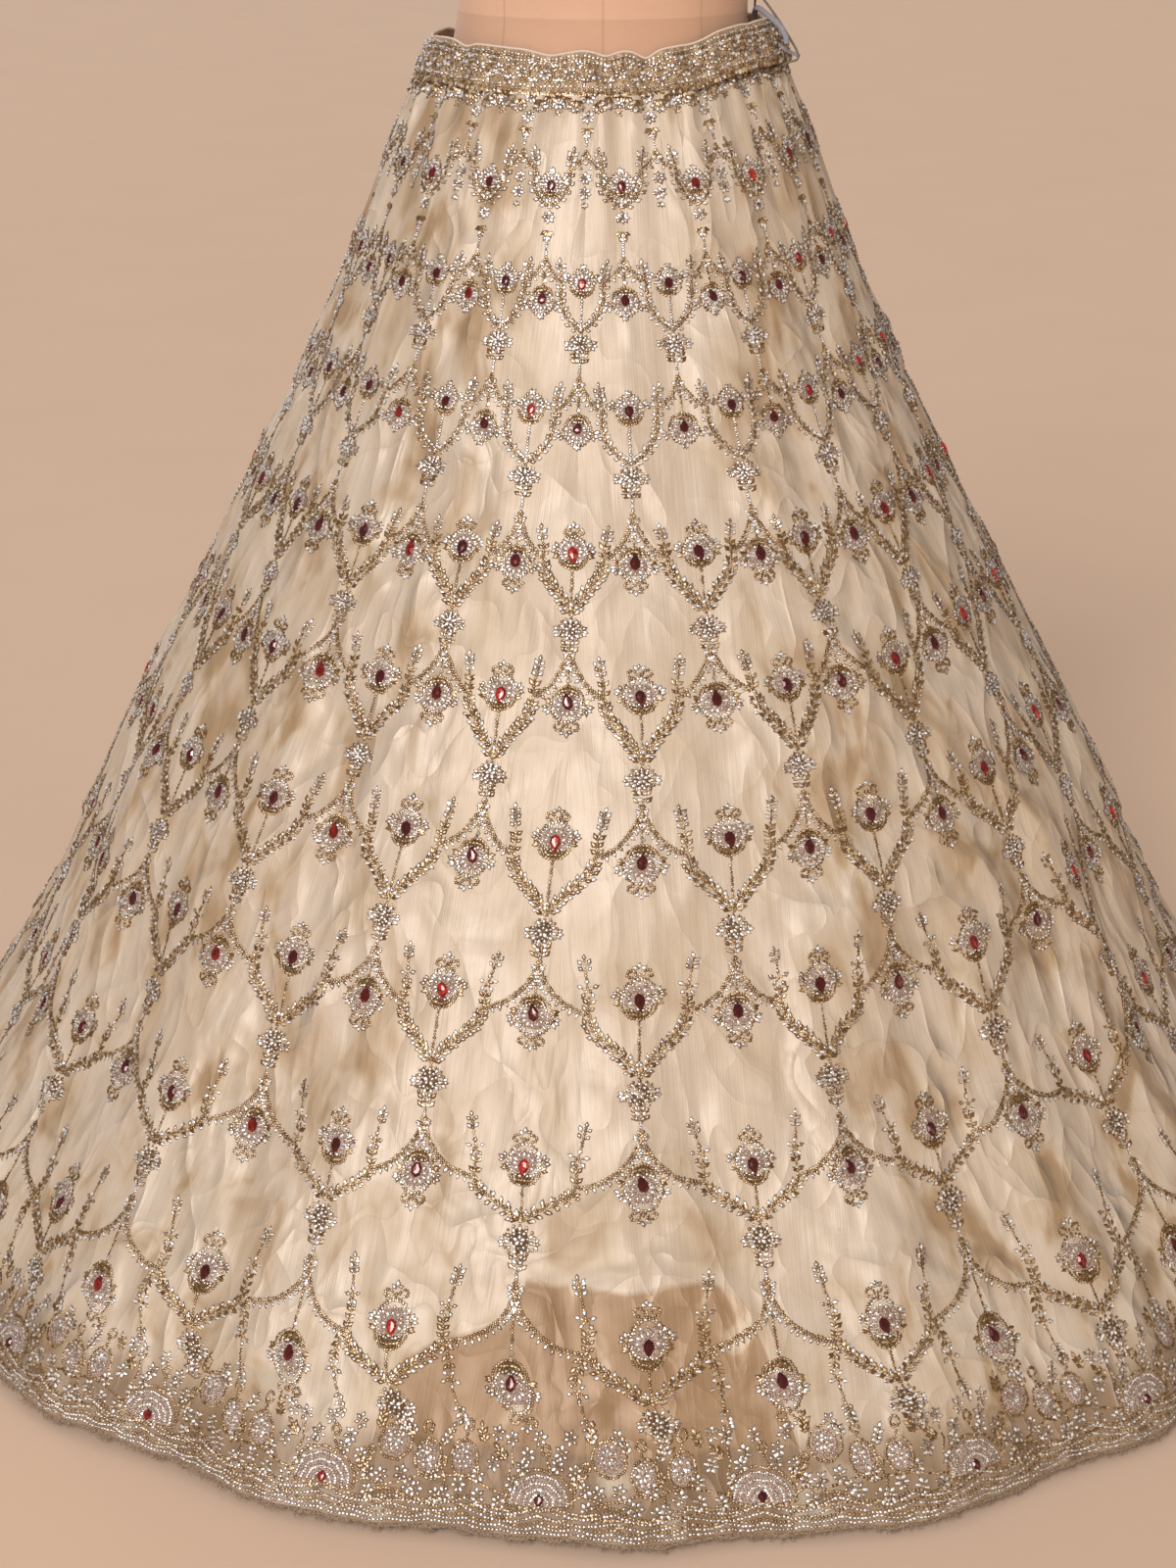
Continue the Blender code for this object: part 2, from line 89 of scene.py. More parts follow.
Lift = namedtuple("Lift", "angle rise")
BAND_LIFTS = tuple(Lift(*row) for row in (
    (-180.0, 0.010), (-120.0, 0.006), (-90.0, 0.003), (-60.0, 0.005), (-40.0, 0.002),
    (-20.0, 0.000), (12.0, 0.000), (28.0, 0.004), (43.0, 0.014), (56.0, 0.018), (72.0, 0.019),
    (95.0, 0.018), (140.0, 0.013), (180.0, 0.010),
))
BandPleat = namedtuple("BandPleat", "angle half_width depth dip")
BAND_PLEATS = tuple(BandPleat(*row) for row in (
    (-150.0, 5.0, 0.0022, 0.002), (-118.0, 4.0, 0.0018, 0.003), (-84.0, 4.5, 0.0020, 0.002),
    (-52.0, 5.0, 0.0024, 0.004), (-17.0, 6.0, 0.0012, 0.004), (1.0, 3.6, 0.0018, 0.004),
    (14.0, 3.4, 0.0026, 0.006), (33.0, 4.5, 0.0014, 0.001), (56.0, 4.5, 0.0016, 0.001),
    (104.0, 4.5, 0.0020, 0.003), (131.0, 5.0, 0.0018, 0.002), (162.0, 4.0, 0.0024, 0.004),
))
LongFold = namedtuple("LongFold", "angle half_width height top")
LONG_FOLDS = tuple(LongFold(*row) for row in (
    (-84.0, 5.5, -0.0015, 0.30), (-73.0, 4.5, -0.0060, 0.38), (-63.0, 4.6, 0.0095, 0.35),
    (-52.0, 4.2, -0.0045, 0.45), (-42.0, 4.4, 0.0060, 0.40), (-31.0, 4.0, -0.0060, 0.50),
    (-20.0, 4.8, 0.0060, 0.45), (-9.0, 4.0, -0.0040, 0.55), (1.0, 4.4, 0.0050, 0.40),
    (9.5, 3.2, -0.0060, 0.60), (21.0, 4.0, 0.0085, 0.50), (31.0, 4.4, -0.0065, 0.55),
    (39.5, 3.6, 0.0060, 0.50), (46.5, 3.4, -0.0060, 0.50), (55.0, 4.0, 0.0080, 0.45),
    (64.5, 4.4, -0.0070, 0.40), (75.0, 4.6, 0.0070, 0.35), (86.0, 4.8, -0.0040, 0.40),
    (97.0, 4.8, 0.0045, 0.40), (108.0, 4.4, -0.0060, 0.45), (118.0, 4.0, 0.0070, 0.40),
    (127.5, 3.6, -0.0050, 0.55), (137.0, 4.4, 0.0080, 0.40), (149.0, 4.8, -0.0060, 0.50),
    (160.0, 4.0, 0.0060, 0.45), (169.5, 3.6, -0.0050, 0.55), (178.0, 3.6, 0.0070, 0.50),
    (187.0, 4.0, -0.0060, 0.50), (197.5, 4.8, 0.0080, 0.40), (209.0, 4.4, -0.0060, 0.45),
    (220.0, 4.0, 0.0060, 0.50), (231.0, 4.4, -0.0050, 0.50), (242.0, 4.8, 0.0080, 0.40),
    (254.0, 4.4, -0.0060, 0.40), (265.0, 4.0, 0.0010, 0.40),
))
FOLD_GROWTH = 0.30

# Cords at the slit
Cord = namedtuple("Cord", "name diameter far_end slot route")
CORDS = (
    Cord("drawstring_end", 0.005, "bare", "drawstring_cord", (
        (0.1300, 0.0120, 1.0440), (0.1292, 0.0040, 1.0515), (0.1300, -0.0080, 1.0560),
        (0.1335, -0.0220, 1.0553), (0.1383, -0.0345, 1.0519), (0.1440, -0.0425, 1.0480),
        (0.1492, -0.0475, 1.0425), (0.1522, -0.0500, 1.0365), (0.1530, -0.0512, 1.0308),
    )),
    Cord("drawstring_tail", 0.003, "bare", "drawstring_cord", (
        (0.1310, -0.0337, 1.0312), (0.1375, -0.0353, 1.0304), (0.1470, -0.0377, 1.0284),
        (0.1524, -0.0388, 1.0254), (0.1592, -0.0400, 1.0222), (0.1648, -0.0410, 1.0200),
    )),
    Cord("tie_loop", 0.002, "object", "tie_cord", (
        (0.1310, 0.0260, 1.0430), (0.1300, 0.0200, 1.0560), (0.1306, 0.0110, 1.0650),
        (0.1330, -0.0020, 1.0655), (0.1390, -0.0180, 1.0590), (0.1490, -0.0330, 1.0455),
        (0.1570, -0.0400, 1.0330), (0.1625, -0.0445, 1.0235), (0.1622, -0.0480, 1.0180),
        (0.1570, -0.0490, 1.0165), (0.1510, -0.0478, 1.0140), (0.1453, -0.0467, 1.0125),
    )),
)

# Dress form
FormRing = namedtuple("FormRing", "height half_width half_depth")
FORM_RINGS = tuple(FormRing(*row) for row in (
    (0.760, 0.1500, 0.1080), (0.785, 0.1640, 0.1180), (0.840, 0.1670, 0.1200),
    (0.905, 0.1580, 0.1190), (0.965, 0.1440, 0.1150), (1.000, 0.1340, 0.1110),
    (1.030, 0.1265, 0.1087), (1.055, 0.1225, 0.1065), (1.090, 0.1235, 0.1080),
    (1.145, 0.1310, 0.1150), (1.210, 0.1410, 0.1270), (1.260, 0.1470, 0.1310),
    (1.310, 0.1530, 0.1230), (1.355, 0.1640, 0.1050), (1.380, 0.1620, 0.0930),
    (1.400, 0.1450, 0.0840), (1.420, 0.1150, 0.0740), (1.438, 0.0860, 0.0650),
    (1.455, 0.0660, 0.0590), (1.472, 0.0570, 0.0550), (1.490, 0.0540, 0.0530),
))
FORM_COLUMNS = 96
FORM_ROWS = 90
FORM_SEAM_ANGLE = 45.0
FORM_SEAM_DEPTH = 0.0007
FORM_SEAM_TURN = 1.2

# The cloth's grid
COLUMNS_PER_PANEL = 30
COLUMNS = PANEL_COUNT * COLUMNS_PER_PANEL
ROWS = 112
BAND_COLUMNS = 300
BAND_ROWS = 8


def smoothstep(low, high, value):
    share = np.clip((value - low) / (high - low), 0.0, 1.0)
    return share * share * (3.0 - 2.0 * share)


def smooth_table(rows, x_name, y_name, x):
    """Read a table between its rows on a monotone cubic curve."""
    xs = np.array([getattr(row, x_name) for row in rows])
    ys = np.array([getattr(row, y_name) for row in rows])
    spans = np.diff(xs)
    slopes = np.diff(ys) / spans
    before, after = slopes[:-1], slopes[1:]
    left, right = spans[:-1], spans[1:]
    weight_left = 2.0 * right + left
    weight_right = right + 2.0 * left
    same_way = before * after > 0.0
    safe_before = np.where(same_way, before, 1.0)
    safe_after = np.where(same_way, after, 1.0)
    mean = (weight_left + weight_right) / (weight_left / safe_before + weight_right / safe_after)
    tangents = np.concatenate(([slopes[0]], np.where(same_way, mean, 0.0), [slopes[-1]]))
    x = np.clip(x, xs[0], xs[-1])
    i = np.clip(np.searchsorted(xs, x, side="right") - 1, 0, len(spans) - 1)
    s = (x - xs[i]) / spans[i]
    return ((2 * s**3 - 3 * s**2 + 1) * ys[i]
            + (s**3 - 2 * s**2 + s) * spans[i] * tangents[i]
            + (3 * s**2 - 2 * s**3) * ys[i + 1]
            + (s**3 - s**2) * spans[i] * tangents[i + 1])


def turn_between(angle, centre):
    return (angle - centre + 180.0) % 360.0 - 180.0


def bump(angle, centre, half_width):
    return np.exp(-(turn_between(angle, centre) / half_width) ** 2)


def band_lift(angle):
    return smooth_table(BAND_LIFTS, "angle", "rise", turn_between(angle, 0.0))


def band_top(angle):
    dips = sum(p.dip * bump(angle, p.angle, p.half_width) for p in BAND_PLEATS)
    return SKIRT_LENGTH + band_lift(angle) - dips


def band_bottom(angle):
    return SKIRT_LENGTH - BAND_HEIGHT + band_lift(angle)


def hem_height(angle):
    around = np.radians(angle - FIRST_SEAM)
    wave = np.sin(PANEL_COUNT * GATHERS_PER_PANEL * around)
    slow = np.sin(HEM_SLOW_WAVES * around + 1.0)
    return HEM_HEIGHT + HEM_WAVE_DEPTH * ((1.0 - HEM_SLOW_SHARE) * wave + HEM_SLOW_SHARE * slow)


def gather_height(angle, below_band):
    around = np.radians(angle - FIRST_SEAM)
    uneven = GATHER_UNEVENNESS * (np.sin(GATHER_SLOW_WAVES * around + 0.6) - 1.0)
    wave = -np.cos(PANEL_COUNT * GATHERS_PER_PANEL * around)
    return GATHER_DEPTH * (1.0 + uneven) * wave * np.exp(-(below_band / GATHER_REACH) ** 2)


def fold_height(angle, drop):
    return sum(f.height * smoothstep(f.top, f.top + FOLD_GROWTH, drop)
               * bump(angle, f.angle, f.half_width) for f in LONG_FOLDS)


def seam_distance(angle):
    """The turn in degrees to the nearest seam between panels."""
    nearest = np.round((angle - FIRST_SEAM) / PANEL_ANGLE) * PANEL_ANGLE + FIRST_SEAM
    return turn_between(angle, nearest)


def plain_radius(angle, height):
    """The skirt's half width with no gathers and no folds."""
    drop = (SKIRT_LENGTH - height) / SKIRT_LENGTH
    lobes = sum(lobe.share * np.sin(lobe.waves * np.radians(angle)) for lobe in HEM_LOBES)
    radius = smooth_table(SKIRT_RINGS, "drop", "half_width", drop)
    return radius * (1.0 + np.maximum(drop, 0.0) ** 1.5 * lobes)


def skirt_radius(angle, height):
    drop = (SKIRT_LENGTH - height) / SKIRT_LENGTH
    pull = SEAM_PULL * np.exp(-(seam_distance(angle) / SEAM_PULL_ANGLE) ** 2)
    return (plain_radius(angle, height) + gather_height(angle, band_bottom(angle) - height)
            + fold_height(angle, drop) - pull)


def depth_ratio(height):
    return smooth_table(SKIRT_RINGS, "drop", "depth_ratio", (SKIRT_LENGTH - height) / SKIRT_LENGTH)


def place(angle, radius, ratio, height):
    side = np.radians(angle)
    across, depth = radius * np.sin(side), -radius * ratio * np.cos(side)
    return np.stack([across, depth, height + 0.0 * side], -1)


def unit(vectors):
    return vectors / np.maximum(np.linalg.norm(vectors, axis=-1, keepdims=True), 1e-12)


class Surface:
    """A grid of points round the form, and what is read between them.

    points[i, j] runs round from first_angle in equal steps, and down from top to bottom.
    """

    def __init__(self, points, top, bottom, first_angle, sweep, closed):
        self.points = points
        self.top = top
        self.bottom = bottom
        self.first_angle = first_angle
        self.sweep = sweep
        around = np.gradient(points, axis=0)
        if closed:
            around[0] = around[-1] = points[1] - points[-2]
        down = np.gradient(points, axis=1)
        self.normals = unit(np.cross(down, around))
        self.around = unit(around)

    def sample(self, angle, height):
        """Points, directions round, directions up and outward normals at these places."""
        columns, rows = self.points.shape[0] - 1, self.points.shape[1] - 1
        turned = (angle - self.first_angle) % 360.0
        column = np.clip(turned / self.sweep * columns, 0.0, columns - 1e-6)
        top, bottom = self.top(angle), self.bottom(angle)
        row = np.clip((height - top) / (bottom - top) * rows, 0.0, rows - 1e-6)
        i, j = column.astype(int), row.astype(int)
        f, g = (column - i)[..., None], (row - j)[..., None]

        def read(grid):
            return ((grid[i, j] * (1 - g) + grid[i, j + 1] * g) * (1 - f)
                    + (grid[i + 1, j] * (1 - g) + grid[i + 1, j + 1] * g) * f)

        normal = unit(read(self.normals))
        east = read(self.around)
        east = unit(east - normal * (east * normal).sum(-1, keepdims=True))
        return read(self.points), east, np.cross(normal, east), normal


# Creases in the cloth, a soft ridge or trough each: turn leans its line from upright
Crease = namedtuple("Crease", "angle height length width depth turn")
FRONT_CREASES = tuple(Crease(*row) for row in (
    (-41.0, 0.560, 0.110, 0.0110, 0.0042, 28.0), (-35.0, 0.500, 0.090, 0.0090, -0.0036, -24.0),
    (-27.5, 0.640, 0.100, 0.0080, 0.0030, 16.0), (-25.0, 0.520, 0.080, 0.0100, 0.0034, 34.0),
    (-18.0, 0.470, 0.110, 0.0100, -0.0036, 18.0), (-8.5, 0.610, 0.120, 0.0075, 0.0030, 14.0),
    (-11.0, 0.400, 0.090, 0.0120, 0.0038, -62.0), (-1.0, 0.530, 0.080, 0.0100, -0.0030, 22.0),
    (3.0, 0.300, 0.120, 0.0085, 0.0030, -86.0), (4.5, 0.215, 0.170, 0.0080, 0.0034, 84.0),
    (0.5, 0.180, 0.140, 0.0070, -0.0028, -82.0), (8.0, 0.420, 0.100, 0.0110, 0.0034, -30.0),
    (16.5, 0.330, 0.200, 0.0070, -0.0044, 3.0), (19.5, 0.240, 0.220, 0.0065, 0.0046, 2.0),
    (22.5, 0.300, 0.210, 0.0080, -0.0044, 5.0), (25.0, 0.190, 0.180, 0.0065, 0.0044, -2.0),
    (27.0, 0.700, 0.120, 0.0090, 0.0036, 20.0), (33.0, 0.580, 0.130, 0.0095, 0.0042, 24.0),
    (29.5, 0.470, 0.110, 0.0080, -0.0036, 12.0), (37.5, 0.490, 0.130, 0.0100, 0.0044, 30.0),
    (35.0, 0.360, 0.140, 0.0090, -0.0042, 20.0), (43.0, 0.400, 0.150, 0.0110, 0.0050, 24.0),
    (48.0, 0.330, 0.130, 0.0095, -0.0046, 28.0), (53.5, 0.420, 0.130, 0.0090, 0.0044, 18.0),
    (57.5, 0.300, 0.210, 0.0080, 0.0056, 10.0), (61.5, 0.260, 0.180, 0.0100, -0.0050, 8.0),
    (-46.0, 0.330, 0.110, 0.0100, 0.0044, 40.0), (-51.0, 0.250, 0.100, 0.0090, -0.0040, 56.0),
    (-38.5, 0.290, 0.090, 0.0100, 0.0040, -40.0), (-34.0, 0.200, 0.090, 0.0085, -0.0036, 64.0),
    (-28.0, 0.330, 0.100, 0.0110, 0.0038, 34.0), (-57.0, 0.180, 0.110, 0.0090, 0.0046, 30.0),
    (-62.0, 0.440, 0.130, 0.0100, -0.0048, 20.0), (-66.0, 0.300, 0.140, 0.0090, 0.0050, 24.0),
    (36.5, 0.200, 0.150, 0.0110, 0.0046, 12.0), (42.0, 0.140, 0.140, 0.0090, -0.0044, 10.0),
    (31.5, 0.120, 0.120, 0.0080, 0.0040, -8.0), (-13.5, 0.250, 0.080, 0.0090, -0.0030, 66.0),
    (11.5, 0.130, 0.120, 0.0070, 0.0038, 16.0), (9.0, 0.090, 0.080, 0.0055, -0.0032, -20.0),
))
CREASE_STRENGTH = 1.25
CREASE_BOW = 0.9
CREASE_SKEW = 0.55
CREASE_SLANT = 1.14
NARROWEST_RADIUS = 0.2
LIKE_CREASES_SPACING = 11.0
LIKE_CREASES_SCATTER = (4.5, 0.035)
LIKE_CREASE_LEVELS = (0.13, 0.20, 0.27, 0.345, 0.42, 0.495, 0.57, 0.645, 0.72, 0.79)
FRONT_HALF_ANGLE = 70.0
FRONT_SHARE = 0.45
FINE_CREASES = 620
# Ranges of the creases' lengths, widths and depths
LIKE_SIZES = ((0.07, 0.17), (0.0070, 0.0125), (0.0024, 0.0048))
FINE_SIZES = ((0.03, 0.085), (0.0042, 0.0075), (0.0007, 0.0017))


def like_creases():
    """Creases like the front's, all round, softer where the front has its own, and fine ones."""
    rows = []
    lengths, widths, depths = LIKE_SIZES
    aside, above = LIKE_CREASES_SCATTER
    for height in LIKE_CREASE_LEVELS:
        size = 0.62 + 0.38 * (1.0 - height)
        for angle in np.arange(-180.0, 180.0, LIKE_CREASES_SPACING):
            front = FRONT_SHARE if abs(angle) < FRONT_HALF_ANGLE else 1.0
            rows.append(Crease(
                angle + RNG.uniform(-aside, aside), height + RNG.uniform(-above, above),
                RNG.uniform(*lengths) * size, RNG.uniform(*widths) * size,
                RNG.choice((-1.0, 1.0)) * RNG.uniform(*depths) * size * front,
                RNG.choice((RNG.normal(0.0, 20.0), RNG.uniform(-85.0, 85.0)), p=(0.7, 0.3)),
            ))
    lengths, widths, depths = FINE_SIZES
    for _ in range(FINE_CREASES):
        height = 0.05 + 0.86 * RNG.random() ** 1.15
        rows.append(Crease(
            RNG.uniform(-180.0, 180.0), height, RNG.uniform(*lengths), RNG.uniform(*widths),
            RNG.choice((-1.0, 1.0)) * RNG.uniform(*depths), RNG.normal(0.0, 38.0),
        ))
    return rows


def add_creases(relief, angles, heights, radii):
    """Add each crease's soft profile to the relief, one side of it steeper than the other."""
    for crease in (*FRONT_CREASES, *like_creases()):
        reach = math.degrees((crease.length * 0.5 + 3.0 * crease.width) / NARROWEST_RADIUS)
        near = np.abs(turn_between(angles, crease.angle)) < reach
        at = np.flatnonzero(near)
        if not len(at):
            continue
        across = np.radians(turn_between(angles[at], crease.angle))[:, None] * radii[at]
        up = (heights[at] - crease.height) * CREASE_SLANT
        lean = math.radians(crease.turn)
        along = up * math.cos(lean) - across * math.sin(lean)
        side = up * math.sin(lean) + across * math.cos(lean)
        side = side + CREASE_BOW * along**2 / crease.length
        fade = np.clip(1.0 - (2.0 * along / crease.length) ** 2, 0.0, 1.0) ** 1.5
        skew = 1.0 + CREASE_SKEW * np.tanh(side / crease.width)
        profile = fade * skew * np.exp(-(side / crease.width) ** 2)
        relief[at] += CREASE_STRENGTH * crease.depth * profile


# Rows of the embroidery: heights of each row's cusps, arc ends, branch junctions, stones
# of the upright medallions and of the pendants, and the sizes of what hangs between
Row = namedtuple("Row", "cusp base junction stone pendant width height sprig arc_share roundness")
EMBROIDERY_ROWS = tuple(Row(*row) for row in (
    (0.9570, 0.9430, 0.9130, 0.9290, None, 0.0190, 0.0190, 0.0150, 0.44, 0.4),
    (0.8770, 0.8590, 0.8210, 0.8560, 0.8450, 0.0200, 0.0210, 0.0150, 0.46, 0.4),
    (0.7880, 0.7650, 0.7250, 0.7630, 0.7510, 0.0220, 0.0230, 0.0190, 0.46, 0.4),
    (0.6910, 0.6590, 0.6180, 0.6610, 0.6560, 0.0250, 0.0250, 0.0240, 0.48, 0.5),
    (0.5966, 0.5613, 0.5151, 0.5610, 0.5580, 0.0280, 0.0265, 0.0300, 0.50, 0.5),
    (0.4880, 0.4520, 0.4090, 0.4600, 0.4480, 0.0280, 0.0275, 0.0360, 0.50, 0.6),
    (0.3790, 0.3430, 0.3000, 0.3520, 0.3410, 0.0280, 0.0290, 0.0420, 0.52, 0.7),
    (0.2642, 0.2258, 0.1981, 0.2345, 0.2285, 0.0275, 0.0310, 0.0480, 0.54, 0.8),
    (0.1620, 0.1225, 0.0924, 0.1272, 0.1005, 0.0300, 0.0360, 0.0560, 0.56, 1.0),
))
PATTERN_COLUMNS = 21
COLUMN_ANGLE = 360.0 / PATTERN_COLUMNS
CURLS_FROM_ROW = 3

# How the pattern leaves even columns and level rows, in degrees and metres
Drift = namedtuple("Drift", "angle high low")
PATTERN_DRIFT = tuple(Drift(*row) for row in (
    (-180.0, 0.0, 0.0), (-100.0, 0.0, 0.0), (-64.0, 0.8, -1.0), (-47.0, -1.4, -2.2),
    (-38.5, -0.2, -2.6), (-30.0, 0.4, -2.4), (-21.0, 0.2, -1.8), (-13.0, 0.0, -2.9),
    (-4.2, -0.2, -2.5), (4.4, 0.2, -1.2), (13.0, 1.1, -0.5), (21.5, 2.0, -1.1), (30.0, 1.2, -1.0),
    (38.7, 2.0, -0.3), (47.0, 1.8, 2.0), (60.0, 2.0, 1.5), (100.0, 0.0, 0.0), (180.0, 0.0, 0.0),
))
Rise = namedtuple("Rise", "angle rise")
PATTERN_RISES = tuple(Rise(*row) for row in (
    (-180.0, 0.008), (-130.0, 0.010), (-80.0, 0.010), (-55.0, 0.006), (-40.0, 0.002),
    (0.0, 0.000), (30.0, 0.002), (42.0, 0.006), (50.0, 0.012), (60.0, 0.020), (70.0, 0.024),
    (95.0, 0.022), (140.0, 0.012), (180.0, 0.008),
))


# Heights between which the drift and the rise of the pattern change or fade
LOW_TO_HIGH = (0.30, 0.56)
OFF_BORDER = (0.045, 0.11)
LEFT_BELOW_BAND = (0.95, 0.99)
RISING = (0.06, 0.30)
TO_BAND = (0.93, 0.99)


def warp(angle, height):
    """Where the pattern's even place really lies on the sewn cloth."""
    turned = turn_between(angle, 0.0)
    high = smooth_table(PATTERN_DRIFT, "angle", "high", turned)
    low = smooth_table(PATTERN_DRIFT, "angle", "low", turned)
    share = smoothstep(*LOW_TO_HIGH, height)
    steady = smoothstep(*OFF_BORDER, height) * (1.0 - smoothstep(*LEFT_BELOW_BAND, height))
    rise = smooth_table(PATTERN_RISES, "angle", "rise", turned) * smoothstep(*RISING, height)
    at_band = smoothstep(*TO_BAND, height)
    raised = height + rise * (1.0 - at_band) + band_lift(angle) * at_band
    return angle + (low + (high - low) * share) * steady, raised


PUFF_DEPTH = 0.0009
PUFF_RISE = 0.16
PUFF_HEIGHT = 0.30


def puff(angle, height):
    """Plain cloth between the rows stands a little proud of the sewn rows."""
    total = np.zeros(np.broadcast(angle, height).shape)
    for index, row in enumerate(EMBROIDERY_ROWS):
        above = EMBROIDERY_ROWS[index - 1].cusp if index else SKIRT_LENGTH - BAND_HEIGHT
        middle = 0.45 * row.cusp + 0.55 * row.base + PUFF_RISE * (above - row.cusp)
        tall = PUFF_HEIGHT * (above - row.cusp)
        level = np.exp(-((height - middle) / tall) ** 2)
        shift = COLUMN_ANGLE / 2.0 * ((index + 1) % 2)
        wave = np.cos(np.radians(angle - FIRST_SEAM - shift) * PATTERN_COLUMNS)
        total += PUFF_DEPTH * (2.0 - row.cusp) * level * wave
    return total


GATHER_KEPT = 0.40
GATHER_WAVES = ((0.30, 9.0, 0.7), (0.25, 16.0, 2.1))


def uneven_gathers(angle, height):
    """What the even gathers lose, more at some places than at others."""
    around = np.radians(angle)
    waves = (share * np.sin(count * around + start) for share, count, start in GATHER_WAVES)
    keep = sum(waves, GATHER_KEPT)
    return (1.0 - keep) * gather_height(angle, band_bottom(angle) - height)


# Shares of the height at which the relief is flat, and how far the seams flatten it
CALM_TOP = 0.03
CALM_BOTTOM = 0.95
SEAM_CALM = 0.3
SEAM_CALM_ANGLE = 0.9


def make_skirt_surface():
    steps = np.arange(COLUMNS + 1)
    angles = FIRST_SEAM + 360.0 * steps / COLUMNS
    shares = np.linspace(0.0, 1.0, ROWS + 1)
    top = band_bottom(angles) - SEAM_GAP
    bottom = hem_height(angles)
    heights = top[:, None] + (bottom - top)[:, None] * shares[None, :]
    grid = angles[:, None] + 0.0 * heights
    radii = skirt_radius(grid, heights)
    relief = puff(grid, heights) - uneven_gathers(grid, heights)
    add_creases(relief, angles, heights, radii)
    relief[-1] = relief[0]
    calm = smoothstep(0.0, CALM_TOP, shares) * (1.0 - smoothstep(CALM_BOTTOM, 1.0, shares))
    at_seam = 1.0 - SEAM_CALM * np.exp(-(seam_distance(angles) / SEAM_CALM_ANGLE) ** 2)
    radii = radii + relief * calm[None, :] * at_seam[:, None]
    points = place(grid, radii, depth_ratio(heights), heights)
    surface = Surface(points, lambda a: band_bottom(a) - SEAM_GAP, hem_height,
                      FIRST_SEAM, 360.0, True)
    surface.angles = angles
    surface.heights = heights
    return surface


BAND_RIDGES = 0.0022
BAND_RIPPLES = 0.0013


def band_crumple(angle, share):
    pleats = sum(p.depth * bump(angle, p.angle, p.half_width) for p in BAND_PLEATS)
    waves = np.cos(BAND_WAVES * np.radians(angle - FIRST_SEAM))
    swell = BAND_SWELL * np.sin(np.pi * share) * (1.0 + 0.5 * waves)
    across = np.sin(np.pi * (0.15 + 0.7 * share))
    return swell - np.minimum(pleats, DEEPEST_PLEAT) * across


def make_band_surface():
    top_ring = SKIRT_RINGS[0]
    half = math.degrees(SLIT_HALF_WIDTH / (top_ring.half_width * top_ring.depth_ratio))
    start = SLIT_ANGLE + half
    sweep = 360.0 - 2.0 * half
    angles = start + sweep * np.arange(BAND_COLUMNS + 1) / BAND_COLUMNS
    shares = np.linspace(0.0, 1.0, BAND_ROWS + 1)[None, :]
    grid = angles[:, None] + 0.0 * shares
    top, bottom = band_top(angles)[:, None], band_bottom(angles)[:, None]
    heights = top + shares * (bottom - top)
    radius = smooth_table(SKIRT_RINGS, "drop", "half_width", shares * BAND_HEIGHT / SKIRT_LENGTH)
    ratio = depth_ratio(SKIRT_LENGTH - shares * BAND_HEIGHT) + 0.0 * grid
    around = np.radians(grid)
    ridges = BAND_RIDGES * (0.6 - np.abs(np.sin(around * 27.0 + 3.0 * shares)))
    ripples = BAND_RIPPLES * np.sin(around * 37.0 - 4.0 * shares)
    fine = (ridges + ripples) * np.sin(np.pi * shares)
    outer = place(grid, radius + band_crumple(grid, shares) + fine, ratio, heights)
    inner = place(grid, radius - BAND_WALL + 0.0 * grid, ratio, heights)
    surface = Surface(outer, band_top, band_bottom, start, sweep, False)
    surface.inner = inner
    return surface


def add_object(name, data):
    obj = bpy.data.objects.new(name, data)
    bpy.context.scene.collection.objects.link(obj)
    return obj


def mesh_object(name, points, faces, materials, smooth=True):
    """An object from an array of points and an array of faces with equal corner counts."""
    mesh = bpy.data.meshes.new(name)
    points = np.ascontiguousarray(points, np.float32).reshape(-1, 3)
    faces = np.ascontiguousarray(faces, np.int32)
    corners = faces.shape[1]
    mesh.vertices.add(len(points))
    mesh.vertices.foreach_set("co", points.ravel())
    mesh.loops.add(faces.size)
    mesh.loops.foreach_set("vertex_index", faces.ravel())
    mesh.polygons.add(len(faces))
    mesh.polygons.foreach_set("loop_start", np.arange(len(faces), dtype=np.int32) * corners)
    mesh.polygons.foreach_set("use_smooth", np.full(len(faces), smooth))
    for material in materials:
        mesh.materials.append(material)
    mesh.update(calc_edges=True)
    mesh.validate()
    return add_object(name, mesh)


SHARP_ANGLE = math.radians(50.0)


def grid_faces(columns, rows, closed=False, first=0):
    """Quads of a grid of points stored column by column, facing out of columns that run round."""
    spans = columns if closed else columns - 1
    i = np.arange(spans)[:, None]
    j = np.arange(rows - 1)[None, :]
    a = first + i * rows + j
    b = first + ((i + 1) % columns) * rows + j
    return np.stack([a, a + 1, b + 1, b], -1).reshape(-1, 4)


def template_faces(template, count, points_each, first=0):
    """The template's faces on each of count blocks of points_each points."""
    starts = first + points_each * np.arange(count)[:, None, None]
    return (starts + np.array(template)).reshape(-1, len(template[0]))


def set_attribute(obj, name, values, kind="FLOAT", field="value"):
    layer = obj.data.attributes.new(name, kind, "POINT")
    layer.data.foreach_set(field, np.ascontiguousarray(values, np.float32).ravel())


def set_cloth_place(obj, across, down, number):
    """Where each point of a shell lies on its flat cloth, the same on both faces."""
    places = np.stack([across, down, 0.0 * across + number], -1)
    set_attribute(obj, "cloth_place", np.stack([places, places]), "FLOAT_VECTOR", "vector")


def finish_piece(obj, slot=None, replaced=()):
    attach(obj, "root")
    if replaced:
        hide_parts(*replaced)
    return obj


